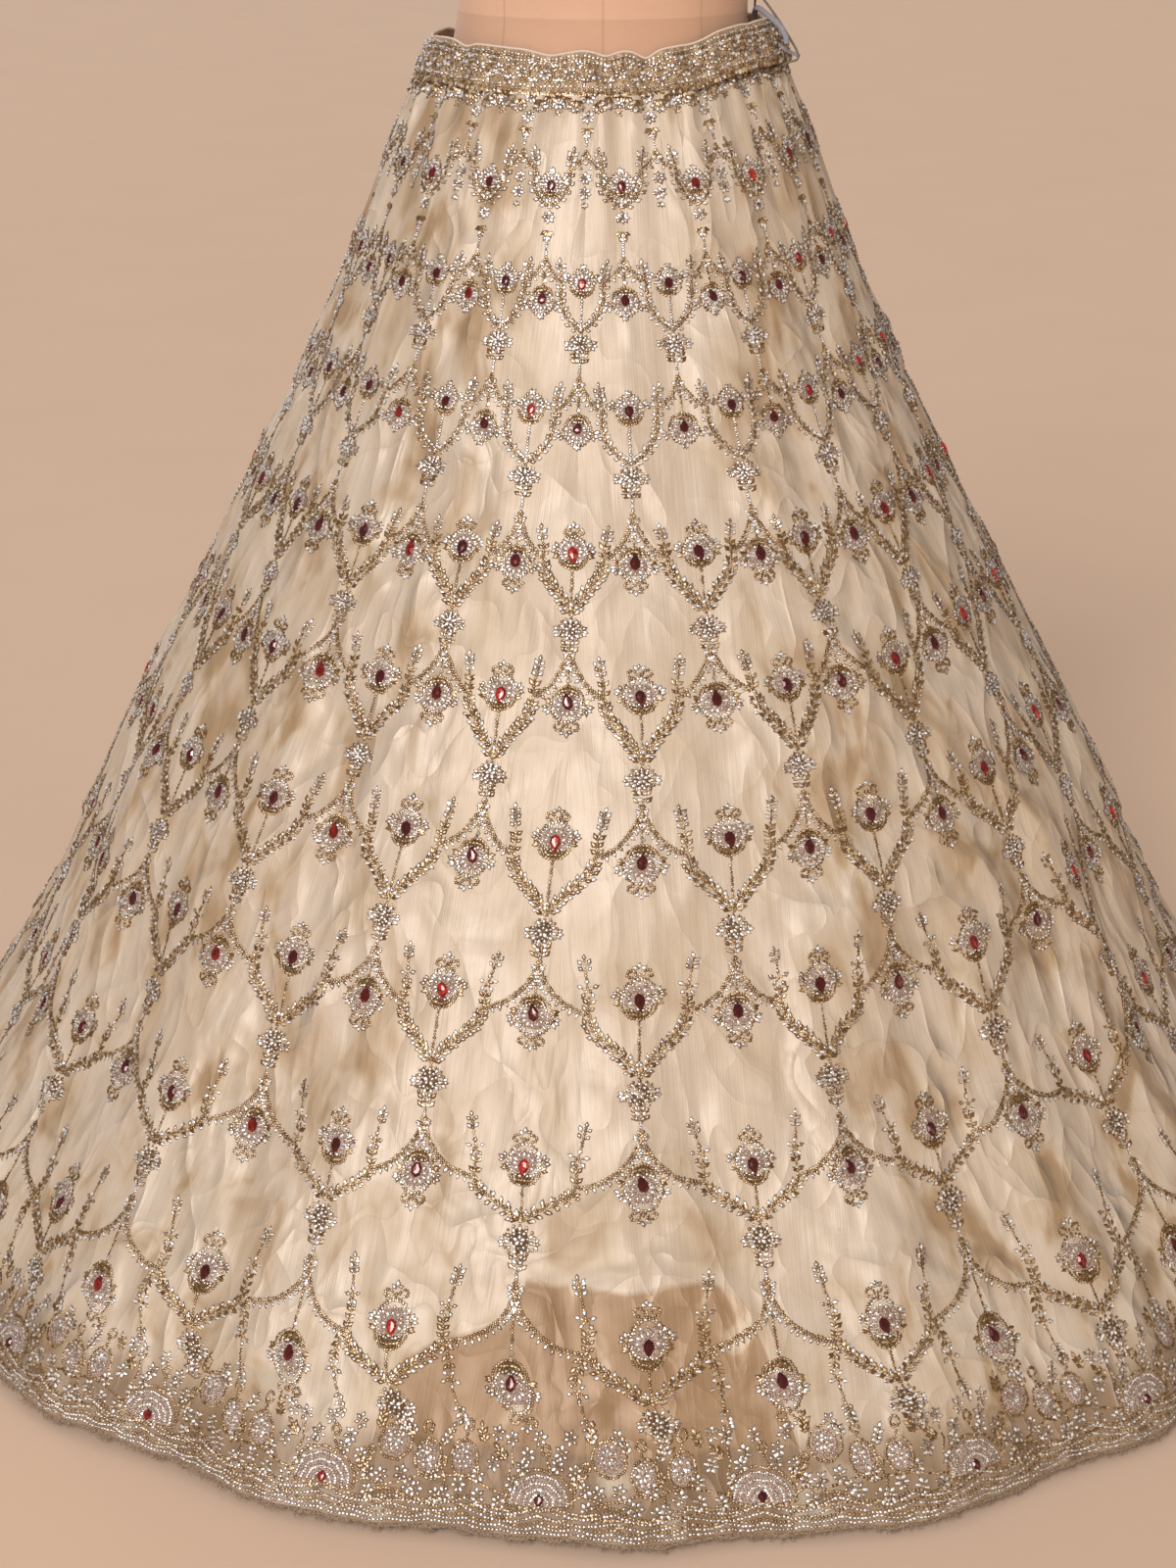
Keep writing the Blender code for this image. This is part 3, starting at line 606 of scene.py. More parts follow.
# Materials: every one is made of procedural nodes
class Shader:
    """A material's nodes, from a place on the piece to the principled shader."""

    def __init__(self, name, roughness, metallic=0.0, **sockets):
        self.material = bpy.data.materials.new(name)
        self.material.use_nodes = True
        self.tree = self.material.node_tree
        self.surface = self.tree.nodes["Principled BSDF"]
        self.surface.inputs["Roughness"].default_value = roughness
        self.surface.inputs["Metallic"].default_value = metallic
        for socket, value in sockets.items():
            self.surface.inputs[socket.replace("_", " ")].default_value = value

    def node(self, kind, inputs=(), **settings):
        made = self.tree.nodes.new(kind)
        for setting, value in settings.items():
            setattr(made, setting, value)
        for socket, value in dict(inputs).items():
            if isinstance(value, bpy.types.NodeSocket):
                self.tree.links.new(value, made.inputs[socket])
            else:
                made.inputs[socket].default_value = value
        return made

    def link(self, output, socket):
        self.tree.links.new(output, self.surface.inputs[socket])

    def stretched(self, place_socket, stretch):
        return self.node("ShaderNodeMapping", {
            "Vector": place_socket, "Scale": stretch}).outputs["Vector"]

    def object_place(self, stretch=(1.0, 1.0, 1.0)):
        return self.stretched(self.node("ShaderNodeTexCoord").outputs["Object"], stretch)

    def cloth_place(self, upright):
        read = self.node("ShaderNodeAttribute", attribute_name="cloth_place")
        return self.stretched(read.outputs["Vector"], (1.0, upright, 1.0))

    def upright_noise(self, upright, *settings):
        """Noise on the piece, drawn out along the height."""
        return self.noise(self.object_place((1.0, 1.0, upright)), *settings)

    def height(self):
        parts = self.node("ShaderNodeSeparateXYZ", {"Vector": self.object_place()})
        return parts.outputs["Z"]

    def number(self, name):
        return self.node("ShaderNodeAttribute", attribute_name=name).outputs["Fac"]

    def each(self):
        """A number of its own for every bead, stone or sequin."""
        return self.node("ShaderNodeNewGeometry").outputs["Random Per Island"]

    def noise(self, place_socket, scale, detail=2.0, roughness=0.5, distortion=0.0):
        return self.node("ShaderNodeTexNoise", {
            "Vector": place_socket, "Scale": scale, "Detail": detail,
            "Roughness": roughness, "Distortion": distortion}).outputs["Fac"]

    def crease(self, noise):
        """Long sharp ridges where the noise crosses its middle, smooth between them."""
        away = self.math("ABSOLUTE", self.math("SUBTRACT", noise, 0.5))
        return self.math("SUBTRACT", 0.5, self.math("POWER", away, 0.8))

    def ramp(self, fac, stops):
        """A colour for each position from 0 to 1."""
        made = self.node("ShaderNodeValToRGB", {"Fac": fac})
        elements = made.color_ramp.elements
        while len(elements) < len(stops):
            elements.new(0.5)
        for element, (position, colour) in zip(elements, stops):
            element.position = position
            element.color = (*colour, 1.0)
        return made.outputs["Color"]

    def level(self, fac, low, high, to_low, to_high):
        return self.node("ShaderNodeMapRange", {
            "Value": fac, "From Min": low, "From Max": high,
            "To Min": to_low, "To Max": to_high}).outputs["Result"]

    def math(self, operation, first, second=0.0):
        made = self.node("ShaderNodeMath", {0: first, 1: second}, operation=operation)
        return made.outputs["Value"]

    def times(self, first, second):
        return self.math("MULTIPLY", first, second)

    def mix(self, fac, first, second, blend="MIX"):
        """Mix two colours; the node keeps its colours in sockets 6 and 7."""
        made = self.node("ShaderNodeMix", {0: fac, 6: first, 7: second},
                         data_type="RGBA", blend_type=blend)
        return made.outputs[2]

    def bump(self, height, distance, strength=1.0, under=None):
        inputs = {"Height": height, "Distance": distance, "Strength": strength}
        if under is not None:
            inputs["Normal"] = under
        return self.node("ShaderNodeBump", inputs).outputs["Normal"]


# Heights between which the lining, the sheer ground and the hem's darker border end
LINING_TOP = (0.0660, 0.0690)
SHEER_EDGE = (-0.0015, 0.0030)
BORDER_FADE = (0.048, 0.076)
# Depth of each bump, stretch of its noise along the height, and the noise's settings
CRUMPLES = (
    (0.040, 0.55, 8.5, 1.6, 0.45, 0.5), (0.020, 0.16, 19.0, 1.5, 0.5, 0.5),
    (0.009, 0.7, 21.0, 1.2, 0.4, 0.4),
)


def make_tissue():
    """Tissue silk: upright threads, painted satin light and shade in patches, and a darker ground
    low on the skirt with painted glints.
    """
    shader = Shader("tissue_silk", 0.52, 0.10, Sheen_Weight=0.10, Sheen_Roughness=0.5)
    threads = shader.noise(shader.cloth_place(0.018), 950.0, 2.0)
    slubs = shader.noise(shader.cloth_place(0.05), 190.0, 2.0)
    wild = shader.number("wild")
    # Painted satin light and shade: the shade noise, stronger where the cloth is wild, picks lit
    # cream or shaded tan.
    shade = shader.upright_noise(0.30, 23.0, 2.5, 0.55, 0.6)
    calm = shader.times(shader.math("SUBTRACT", 1.0, wild), 0.56)
    lit = shader.math("ADD", shader.times(shade, wild), calm)
    painted_satin_light = shader.ramp(lit, (
        (0.34, (0.365, 0.246, 0.140)), (0.41, (0.460, 0.336, 0.222)),
        (0.47, (0.540, 0.427, 0.314)), (0.60, (0.592, 0.488, 0.390))))
    grain = shader.ramp(threads, ((0.3, (0.78, 0.75, 0.70)), (0.7, (1.0, 1.0, 1.0))))
    colour = shader.mix(0.55, painted_satin_light, grain, "MULTIPLY")
    # The sheer ground's own darker tan, with painted glints in the pale top of its ramp.
    ground = shader.ramp(shader.upright_noise(0.6, 19.0, 2.0, 0.5, 1.6), (
        (0.40, (0.315, 0.192, 0.100)), (0.60, (0.375, 0.238, 0.134)),
        (0.645, (0.50, 0.37, 0.25)), (0.70, (0.58, 0.46, 0.33))))
    height = shader.height()
    wave = shader.times(shader.noise(shader.object_place(), 26.0, 1.0), 0.010)
    level = shader.math("ADD", height, wave)
    lining = shader.level(level, *LINING_TOP, 0.42, 0.0)
    ground = shader.mix(lining, ground, (0.135, 0.095, 0.062, 1.0))
    over_top = shader.math("SUBTRACT", level, shader.number("sheer_top"))
    window = shader.level(over_top, *SHEER_EDGE, 1.0, 0.0)
    border = shader.level(height, *BORDER_FADE, 0.88, 0.0)
    sheer = shader.math("MAXIMUM", window, border)
    ground = shader.mix(0.45, ground, grain, "MULTIPLY")
    shader.link(shader.mix(sheer, colour, ground), "Base Color")
    shader.link(shader.level(lit, 0.42, 0.58, 0.58, 0.47), "Roughness")
    relief = shader.bump(threads, 0.00024, 0.8)
    relief = shader.bump(slubs, 0.0006, 0.6, relief)
    for depth, *noise in CRUMPLES:
        ridges = shader.crease(shader.upright_noise(*noise))
        relief = shader.bump(shader.times(ridges, wild), depth, 0.7, relief)
    shader.link(relief, "Normal")
    return shader.material


def make_band_cloth():
    shader = Shader("band_silk", 0.55, 0.25, Sheen_Weight=0.2)
    crinkle = shader.noise(shader.cloth_place(0.25), 260.0, 3.0)
    shader.link(shader.ramp(crinkle, (
        (0.3, (0.17, 0.098, 0.045)), (0.5, (0.33, 0.215, 0.115)), (0.7, (0.56, 0.43, 0.29)))),
        "Base Color")
    shader.link(shader.bump(crinkle, 0.0012, 0.9), "Normal")
    return shader.material


def make_net():
    shader = Shader("raw_net", 0.85)
    holes = shader.noise(shader.object_place(), 900.0, 2.0)
    shader.link(shader.ramp(holes, ((0.35, (0.10, 0.060, 0.035)), (0.62, (0.33, 0.235, 0.160)))),
                "Base Color")
    shader.link(shader.bump(holes, 0.0006), "Normal")
    return shader.material


def make_cord_cover(name, dark, pale, scale, roughness):
    shader = Shader(name, roughness, 0.0, Sheen_Weight=0.3)
    braid = shader.node("ShaderNodeTexWave", {
        "Vector": shader.object_place(), "Scale": scale, "Distortion": 1.5, "Detail": 1.0,
    }, bands_direction="DIAGONAL").outputs["Fac"]
    shader.link(shader.ramp(braid, ((0.25, dark), (0.75, pale))), "Base Color")
    shader.link(shader.bump(braid, 0.0006), "Normal")
    return shader.material


def make_beads_cover(name, edge, body, tip_tints_and_highlights, roughness, metallic):
    """Beads with painted shade at their seats and a painted highlight on top, each with its own
    tint.
    """
    shader = Shader(name, roughness, metallic, Coat_Weight=0.35, Coat_Roughness=0.12)
    each = shader.each()
    rise = shader.number("rise")
    # Each bead's tip runs from its own tint up to a painted white highlight; its seat colour is
    # painted shade under the bead.
    tip = shader.ramp(each, tip_tints_and_highlights)
    low = shader.mix(shader.level(rise, 0.10, 0.30, 0.0, 1.0), (*edge, 1.0), (*body, 1.0))
    dust = shader.noise(shader.object_place(), 1400.0, 1.0)
    whole = shader.mix(shader.level(rise, 0.27, 0.58, 0.0, 1.0), low, tip)
    shader.link(shader.mix(shader.level(dust, 0.3, 0.7, 0.0, 0.12), whole, (*body, 1.0)),
                "Base Color")
    shader.link(shader.level(each, 0.0, 1.0, roughness * 0.7, roughness * 1.5), "Roughness")
    return shader.material


DARKER_BELOW_HEIGHTS = (1.0545, 1.0555)


def make_form_cover():
    """A matte nude cloth cover, a little darker below a line round the waist."""
    shader = Shader("form_cover", 0.78, 0.0, Sheen_Weight=0.2)
    weave = shader.noise(shader.object_place(), 1300.0, 2.0)
    soft = shader.noise(shader.object_place(), 9.0, 2.0)
    colour = shader.ramp(soft, ((0.3, (0.60, 0.360, 0.240)), (0.7, (0.68, 0.425, 0.292))))
    parts = shader.node("ShaderNodeSeparateXYZ", {"Vector": shader.object_place()}).outputs
    below = shader.level(parts["Z"], *DARKER_BELOW_HEIGHTS, 1.0, 0.0)
    darker = shader.mix(0.20, colour, (0.20, 0.09, 0.04, 1.0))
    turn = shader.math("ARCTAN2", parts["X"], shader.times(parts["Y"], -1.0))
    eighths = shader.math("ADD", shader.times(turn, 4.0 / math.pi), 8.5)
    off_seam = shader.math("ABSOLUTE", shader.math("SUBTRACT", shader.math("FRACT", eighths), 0.5))
    seam = shader.level(off_seam, 0.005, 0.014, 0.32, 0.0)
    plain = shader.mix(below, colour, darker)
    shader.link(shader.mix(seam, plain, (0.30, 0.15, 0.085, 1.0)), "Base Color")
    shader.link(shader.bump(weave, 0.0003, 0.6), "Normal")
    return shader.material


def make_plain(name, dark, pale, scale, roughness, metallic, stretch=(1.0, 1.0, 1.0), depth=0.0002):
    shader = Shader(name, roughness, metallic)
    grain = shader.noise(shader.object_place(stretch), scale, 3.0)
    shader.link(shader.ramp(grain, ((0.3, dark), (0.7, pale))), "Base Color")
    shader.link(shader.bump(grain, depth, 0.6), "Normal")
    return shader.material


TISSUE = make_tissue()
BAND_CLOTH = make_band_cloth()
NET = make_net()
FORM_COVER = make_form_cover()
PIPING_CLOTH = make_plain("piping_silk", (0.56, 0.44, 0.34), (0.72, 0.62, 0.53), 900.0, 0.6, 0.0)
FORM_WOOD = make_plain("form_wood", (0.16, 0.08, 0.035), (0.34, 0.19, 0.09), 60.0, 0.42, 0.0,
                       (1.0, 0.15, 1.0))
FORM_METAL = make_plain("form_metal", (0.34, 0.33, 0.32), (0.48, 0.47, 0.46), 420.0, 0.34, 0.9)
STRING_COVER = make_cord_cover("string_cover", (0.30, 0.27, 0.33), (0.62, 0.58, 0.66), 900.0, 0.75)
TIE_COVER = make_cord_cover("tie_cover", (0.16, 0.10, 0.05), (0.42, 0.29, 0.15), 1400.0, 0.6)


def shell(name, outer, inner, closed, material):
    """A closed wall between two grids of points, stored column by column."""
    columns, rows = outer.shape[:2]
    count = columns * rows
    front = grid_faces(columns, rows, closed)
    i = np.arange(columns if closed else columns - 1)
    j = (i + 1) % columns
    low = rows - 1
    faces = [
        front,
        front[:, ::-1] + count,
        np.stack([i * rows, j * rows, j * rows + count, i * rows + count], -1),
        np.stack([i * rows + low + count, j * rows + low + count,
                  j * rows + low, i * rows + low], -1),
    ]
    if not closed:
        k = np.arange(rows - 1)
        side = np.stack([k, k + count, k + 1 + count, k + 1], -1)
        faces += [side, side[:, ::-1] + (columns - 1) * rows]
    points = np.concatenate([outer.reshape(-1, 3), inner.reshape(-1, 3)])
    obj = mesh_object(name, points, np.concatenate(faces), [material])
    obj.data.set_sharp_from_angle(angle=SHARP_ANGLE)
    return obj


SCENE_CLOTH_WALL = 0.0013
SEAM_SINK = 0.0001
SEAM_OPENS = 0.1
BAND_GRAIN_LENGTH = 0.785
FRAY_THREADS = 2600
FRAY_WIDTH = 0.00028
FRAY_REACH = 0.0034
FRAY_LENGTHS = (0.0015, 0.0058)
FRAY_ROOT = 0.0012
EDGING_WALL = 0.0008
PIPING_RADIUS = 0.0011
PIPING_SIDES = 6
PIPING_OUT = 0.0004
PIPING_UP = 0.4
PIPING_WIDER = 1.5

# Where the darker ground shows through at the front, and up to which height
SHEER_SIDES = (-16.6, -15.0, -12.0, -8.6, -7.0, -5.9, 8.4, 10.6, 12.4, 14.2)
SHEER_TOPS = (0.0, 0.108, 0.126, 0.134, 0.138, 0.1665, 0.1665, 0.152, 0.095, 0.0)
HIGHEST_SHEER = 0.3


def sheer_top(angle, height):
    """How high the ground shows through, 0 where it doesn't."""
    return np.interp(angle, SHEER_SIDES, SHEER_TOPS) * (height < HIGHEST_SHEER)


CALM_ANGLES = (12.0, 26.0)
CALM_HEIGHTS = (0.20, 0.42)
CALM_SHARE = 0.32
LOW_SHARE = 0.45


def wild_share(angle, height):
    """How crumpled the cloth is, and how strong its painted satin light and shade: calm down the
    middle of the front, and lower down less so.
    """
    aside = smoothstep(*CALM_ANGLES, np.abs(angle))
    low = 1.0 - smoothstep(*CALM_HEIGHTS, height)
    return CALM_SHARE + (1.0 - CALM_SHARE) * np.maximum(aside, LOW_SHARE * low)


def make_panels(surface):
    """Each panel is a shell cut out of the cloth's grid, sunk a little at its seams."""
    slope = np.cumsum(np.linalg.norm(np.diff(surface.points, axis=1), axis=-1), axis=1)
    slope = np.concatenate([np.zeros((len(slope), 1)), slope], axis=1)
    for panel in range(PANEL_COUNT):
        cut = slice(panel * COLUMNS_PER_PANEL, (panel + 1) * COLUMNS_PER_PANEL + 1)
        outer = surface.points[cut].copy()
        normals = surface.normals[cut]
        around = surface.around[cut]
        for edge, way in ((0, SEAM_OPENS), (-1, -SEAM_OPENS)):
            outer[edge] += around[edge] * SEAM_GAP * way - normals[edge] * SEAM_SINK
        inner = outer - normals * SCENE_CLOTH_WALL
        name = f"skirt_panel_{panel + 1:02d}"
        obj = shell(f"cloth_{panel + 1:02d}", outer, inner, False, TISSUE)
        angles = surface.angles[cut][:, None]
        heights = surface.heights[cut]
        middle = FIRST_SEAM + (panel + 0.5) * PANEL_ANGLE
        across = np.radians(angles - middle) * plain_radius(angles + 0.0 * heights, heights)
        set_cloth_place(obj, across, slope[cut], panel)
        for attribute, share in (("sheer_top", sheer_top), ("wild", wild_share)):
            values = share(turn_between(angles, 0.0), heights)
            set_attribute(obj, attribute, np.stack([values, values]))
        finish_piece(obj, "tissue_cloth", (name,))


def make_band(surface):
    obj = shell("band", surface.points, surface.inner, False, BAND_CLOTH)
    columns, rows = surface.points.shape[:2]
    obj.data.materials.append(PIPING_CLOTH)
    outside = (columns - 1) * (rows - 1)
    lining = np.zeros(len(obj.data.polygons), np.int32)
    lining[outside:2 * outside] = 1
    obj.data.polygons.foreach_set("material_index", lining)
    across, down = np.broadcast_arrays(np.linspace(0.0, BAND_GRAIN_LENGTH, columns)[:, None],
                                       np.linspace(0.0, BAND_HEIGHT, rows)[None, :])
    set_cloth_place(obj, across, down, 0)
    finish_piece(obj, "band_cloth", ("waistband",))


def make_piping(surface):
    """The cream cord sewn along the waistband's top edge."""
    middle = 0.5 * (surface.points[:, 0] + surface.inner[:, 0])
    out = surface.normals[:, 0]
    middle = middle + out * PIPING_OUT + np.array([0.0, 0.0, PIPING_UP * PIPING_RADIUS])
    up = np.cross(out, surface.around[:, 0])
    turns = 2.0 * math.pi * np.arange(PIPING_SIDES) / PIPING_SIDES
    ring = [middle + PIPING_RADIUS * (out * math.cos(t) * PIPING_WIDER + up * math.sin(t))
            for t in turns]
    points = np.stack(ring, 1)
    faces = grid_faces(PIPING_SIDES, len(middle), True)
    obj = mesh_object("piping", points.transpose(1, 0, 2), faces, [PIPING_CLOTH])
    finish_piece(obj, "band_cloth")


def make_edging(surface):
    """The raw net edge that shows below the hem."""
    inset = SCENE_CLOTH_WALL + SEAM_GAP
    upper = surface.points[:-1, -2] - surface.normals[:-1, -2] * inset
    lower = surface.points[:-1, -1] - surface.normals[:-1, -1] * inset
    slope = unit(lower - upper)
    steps = np.arange(COLUMNS)
    frayed = EDGING_SHOWS * (0.42 + 0.13 * np.sin(steps * 1.9) * np.cos(steps * 0.37)
                             + 0.16 * RNG.uniform(-1.0, 1.0, COLUMNS))
    lowest = lower + slope * (frayed / -slope[:, 2])[:, None]
    outer = np.stack([upper, 0.5 * (upper + lower), lower, 0.5 * (lower + lowest), lowest], 1)
    inner = outer - surface.normals[:-1, -1][:, None] * EDGING_WALL
    obj = shell("net_edge", outer, inner, True, NET)
    finish_piece(obj, "net_edging", ("hem_edging",))
    fray_edge(lowest, slope, surface.normals[:-1, -1])


def fray_edge(edge, down, normals):
    """Loose threads that stand out of the raw edge, a flat bent strip each."""
    at = RNG.integers(0, len(edge), FRAY_THREADS)
    share = RNG.random(FRAY_THREADS)[:, None]
    after = (at + 1) % len(edge)
    foot = edge[at] * (1.0 - share) + edge[after] * share
    along = unit(edge[after] - edge[at])
    lean = RNG.normal(0.0, 0.9, FRAY_THREADS)[:, None]
    out = RNG.normal(0.1, 0.35, FRAY_THREADS)[:, None]
    way = unit(down[at] + along * lean + normals[at] * out)
    length = RNG.uniform(*FRAY_LENGTHS, FRAY_THREADS)[:, None]
    length = np.minimum(length, FRAY_REACH / np.maximum(-way[:, 2:], 0.05))
    bend = along * RNG.normal(0.0, 0.35, FRAY_THREADS)[:, None]
    across = unit(np.cross(way, normals[at])) * FRAY_WIDTH
    off = RNG.uniform(-EDGING_WALL, SEAM_GAP, FRAY_THREADS)[:, None]
    foot = foot - way * FRAY_ROOT + normals[at] * off
    middle = foot + way * (FRAY_ROOT + 0.55 * length)
    tip = foot + way * (FRAY_ROOT + length) + bend * length
    points = np.stack([foot - across, foot + across, middle + across, middle - across,
                       tip + 0.4 * across, tip - 0.4 * across], 1)
    faces = template_faces(((0, 1, 2, 3), (3, 2, 4, 5)), FRAY_THREADS, 6)
    finish_piece(mesh_object("net_threads", points, faces, [NET], smooth=False), "net_edging")


def make_torso():
    heights = np.linspace(FORM_RINGS[0].height, FORM_RINGS[-1].height, FORM_ROWS)[::-1]
    sides = 360.0 * np.arange(FORM_COLUMNS) / FORM_COLUMNS
    width = smooth_table(FORM_RINGS, "height", "half_width", heights)[None, :]
    depth = smooth_table(FORM_RINGS, "height", "half_depth", heights)[None, :]
    nearest = np.abs(sides - np.round(sides / FORM_SEAM_ANGLE) * FORM_SEAM_ANGLE)
    groove = (FORM_SEAM_DEPTH * np.exp(-(nearest / FORM_SEAM_TURN) ** 2))[:, None]
    turned = np.radians(sides)[:, None]
    points = np.stack([(width - groove) * np.sin(turned), -(depth - groove) * np.cos(turned),
                       heights[None, :] + 0.0 * turned], -1)
    faces = grid_faces(FORM_COLUMNS, FORM_ROWS, True)
    count = FORM_COLUMNS * FORM_ROWS
    caps = []
    for row, centre in ((0, count), (FORM_ROWS - 1, count + 1)):
        i = np.arange(FORM_COLUMNS) * FORM_ROWS + row
        j = np.roll(i, -1)
        middle = np.full(FORM_COLUMNS // 2, centre)
        a, b, c = i[::2], j[::2], j[1::2]
        rim = [a, b, c, middle] if row == 0 else [middle, c, b, a]
        caps.append(np.stack(rim, -1))
    ends = np.array([[0.0, 0.0, heights[0]], [0.0, 0.0, heights[-1]]])
    obj = mesh_object("torso", np.concatenate([points.reshape(-1, 3), ends]),
                      np.concatenate([faces, *caps]), [FORM_COVER])
    obj.data.set_sharp_from_angle(angle=SHARP_ANGLE)
    finish_piece(obj, "form_cover", ("form_torso",))


def smooth_route(route, spacing):
    """Points along a smooth line through a cord's route, a Catmull-Rom curve."""
    ends = [2.0 * route[0] - route[1], *route, 2.0 * route[-1] - route[-2]]
    points = []
    for a, b, c, d in zip(ends, ends[1:], ends[2:], ends[3:]):
        steps = max(1, round((c - b).length / spacing))
        for step in range(steps):
            t = step / steps
            points.append(0.5 * (2.0 * b + (c - a) * t + (2.0 * a - 5.0 * b + 4.0 * c - d) * t * t
                                 + (3.0 * b - a - 3.0 * c + d) * t**3))
    points.append(route[-1])
    return points


CORD_SPACING = 1.1
CORD_ROUNDNESS = 4


def make_cord(cord):
    points = smooth_route([Vector(point) for point in cord.route], CORD_SPACING * cord.diameter)
    curve = bpy.data.curves.new(cord.name, "CURVE")
    curve.dimensions = "3D"
    curve.bevel_depth = cord.diameter / 2.0
    curve.bevel_resolution = CORD_ROUNDNESS
    curve.use_fill_caps = True
    line = curve.splines.new("POLY")
    line.points.add(len(points) - 1)
    for at, point in zip(line.points, points):
        at.co = (*point, 1.0)
    line.use_smooth = True
    curve.materials.append(TIE_COVER if cord.slot == "tie_cord" else STRING_COVER)
    obj = add_object(f"{cord.name}_cord", curve)
    finish_piece(obj, cord.slot, (cord.name,))
    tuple(cord.route[0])


def make_camera():
    lens = bpy.data.cameras.new("photo_view")
    lens.lens = CAMERA_LENS
    lens.clip_end = VIEW_END
    camera = add_object("photo_view", lens)
    camera.location = CAMERA_PLACE
    camera.rotation_euler = (math.pi / 2.0 - CAMERA_PITCH, 0.0, 0.0)
    bpy.context.scene.camera = camera


Lamp = namedtuple("Lamp", "name kind place energy size colour")
LAMPS = (
    Lamp("key", "SUN", (-0.80, -2.45, 2.15), 2.40, 0.40, (1.0, 0.975, 0.955)),
    Lamp("fill", "SUN", (2.6, -1.5, 0.9), 0.42, 0.60, (1.0, 0.76, 0.48)),
    Lamp("back", "SUN", (-1.4, 2.6, 1.7), 0.55, 0.60, (1.0, 0.93, 0.86)),
    Lamp("sparkle", "AREA", (-0.9, -2.6, 2.3), 9.0, 0.5, (1.0, 0.98, 0.95)),
)
LAMP_AIM = Vector((0.0, 0.0, 0.5))
WORLD_COLOUR = (1.0, 0.93, 0.86)
WORLD_STRENGTH = 0.33
FLOOR_HALF = 150.0


def make_stage():
    for lamp in LAMPS:
        light = bpy.data.lights.new(lamp.name, lamp.kind)
        light.energy = lamp.energy
        light.color = lamp.colour
        if lamp.kind == "SUN":
            light.angle = lamp.size
        else:
            light.size = lamp.size
        obj = add_object(lamp.name, light)
        obj.location = lamp.place
        aim = LAMP_AIM - Vector(lamp.place)
        obj.rotation_euler = aim.to_track_quat("-Z", "Y").to_euler()
    world = bpy.data.worlds.new("studio")
    world.use_nodes = True
    background = world.node_tree.nodes["Background"]
    background.inputs["Color"].default_value = (*WORLD_COLOUR, 1.0)
    background.inputs["Strength"].default_value = WORLD_STRENGTH
    bpy.context.scene.world = world
    bpy.context.scene.view_settings.view_transform = "Standard"
    corners = FLOOR_HALF * np.array([(-1, -1, 0), (1, -1, 0), (1, 1, 0), (-1, 1, 0)])
    cover = make_plain("floor_paper", (0.700, 0.500, 0.371), (0.715, 0.512, 0.381), 3.0, 0.9, 0.0)
    floor = mesh_object("floor", corners, np.array([[0, 1, 2, 3]]), [cover], smooth=False)


def paint_cad(name, material):
    obj = bpy.data.objects[name]
    obj.data.materials.clear()
    obj.data.materials.append(material)


# Beads, by metal: half length, half width and height over the cloth
Bead = namedtuple("Bead", "metal long wide tall")
GOLD_SEED = Bead("gold", 0.00185, 0.00185, 0.00170)
GOLD_LEAF = Bead("gold", 0.00410, 0.00240, 0.00180)
GOLD_STITCH = Bead("gold", 0.00290, 0.00150, 0.00140)
SILVER_SEED = Bead("silver", 0.00190, 0.00185, 0.00190)
SILVER_DROP = Bead("silver", 0.00325, 0.00220, 0.00215)
SILVER_LONG = Bead("silver", 0.00330, 0.00170, 0.00190)
SILVER_COMB = Bead("silver", 0.00320, 0.00195, 0.00200)
BEAD_SINK = 0.0003
BEAD_STRAY = 0.00022
BEAD_TURN = 0.13
BEAD_LEAN = 0.16
BEAD_SIZES = (0.88, 1.14)
SEED_PITCH = 0.0024
SEQUIN_SIZE = 0.0017
SEQUINS_KEPT = 0.8
SEQUIN_LEAN = 0.22
SEQUIN_LIFT = 0.0012
SEQUIN_CROWN = 0.0004
STONE_TURN = 12.0
SMALL_FLOWER = 0.0040
CURL_PITCH = 0.0019

FLAT_RINGS = [ring._replace(half_width=ring.half_width * (1.0 + ring.depth_ratio) / 2.0)
              for ring in SKIRT_RINGS]


def metres_per_degree(height):
    """How far one degree goes round the skirt, on average, at this height."""
    drop = (SKIRT_LENGTH - np.asarray(height, float)) / SKIRT_LENGTH
    return smooth_table(FLAT_RINGS, "drop", "half_width", drop) * math.pi / 180.0


def cloth_slant(height):
    """Metres of cloth for each metre of height."""
    height = np.asarray(height, float)
    widths = metres_per_degree(height - 0.01) - metres_per_degree(height + 0.01)
    return np.hypot(1.0, widths * 180.0 / math.pi / 0.02)


SIDES = (1.0, -1.0)


class Spot:
    """A motif's own place: x across and y up along the cloth, in metres from its origin."""

    def __init__(self, turn, height, flip=1.0, lean=0.0):
        self.turn = turn
        self.height = height
        self.flip = flip
        self.lean = math.radians(lean)
        self.speed = float(metres_per_degree(height))
        self.slant = float(cloth_slant(height))

    def at(self, x, y):
        x, y = np.asarray(x, float), np.asarray(y, float)
        c, s = math.cos(self.lean), math.sin(self.lean)
        return (self.turn + self.flip * (x * c + y * s) / self.speed,
                self.height + self.flip * (y * c - x * s) / self.slant)

    def heading(self, degrees):
        turned = math.pi if self.flip < 0.0 else 0.0
        return np.radians(degrees) - self.lean + turned


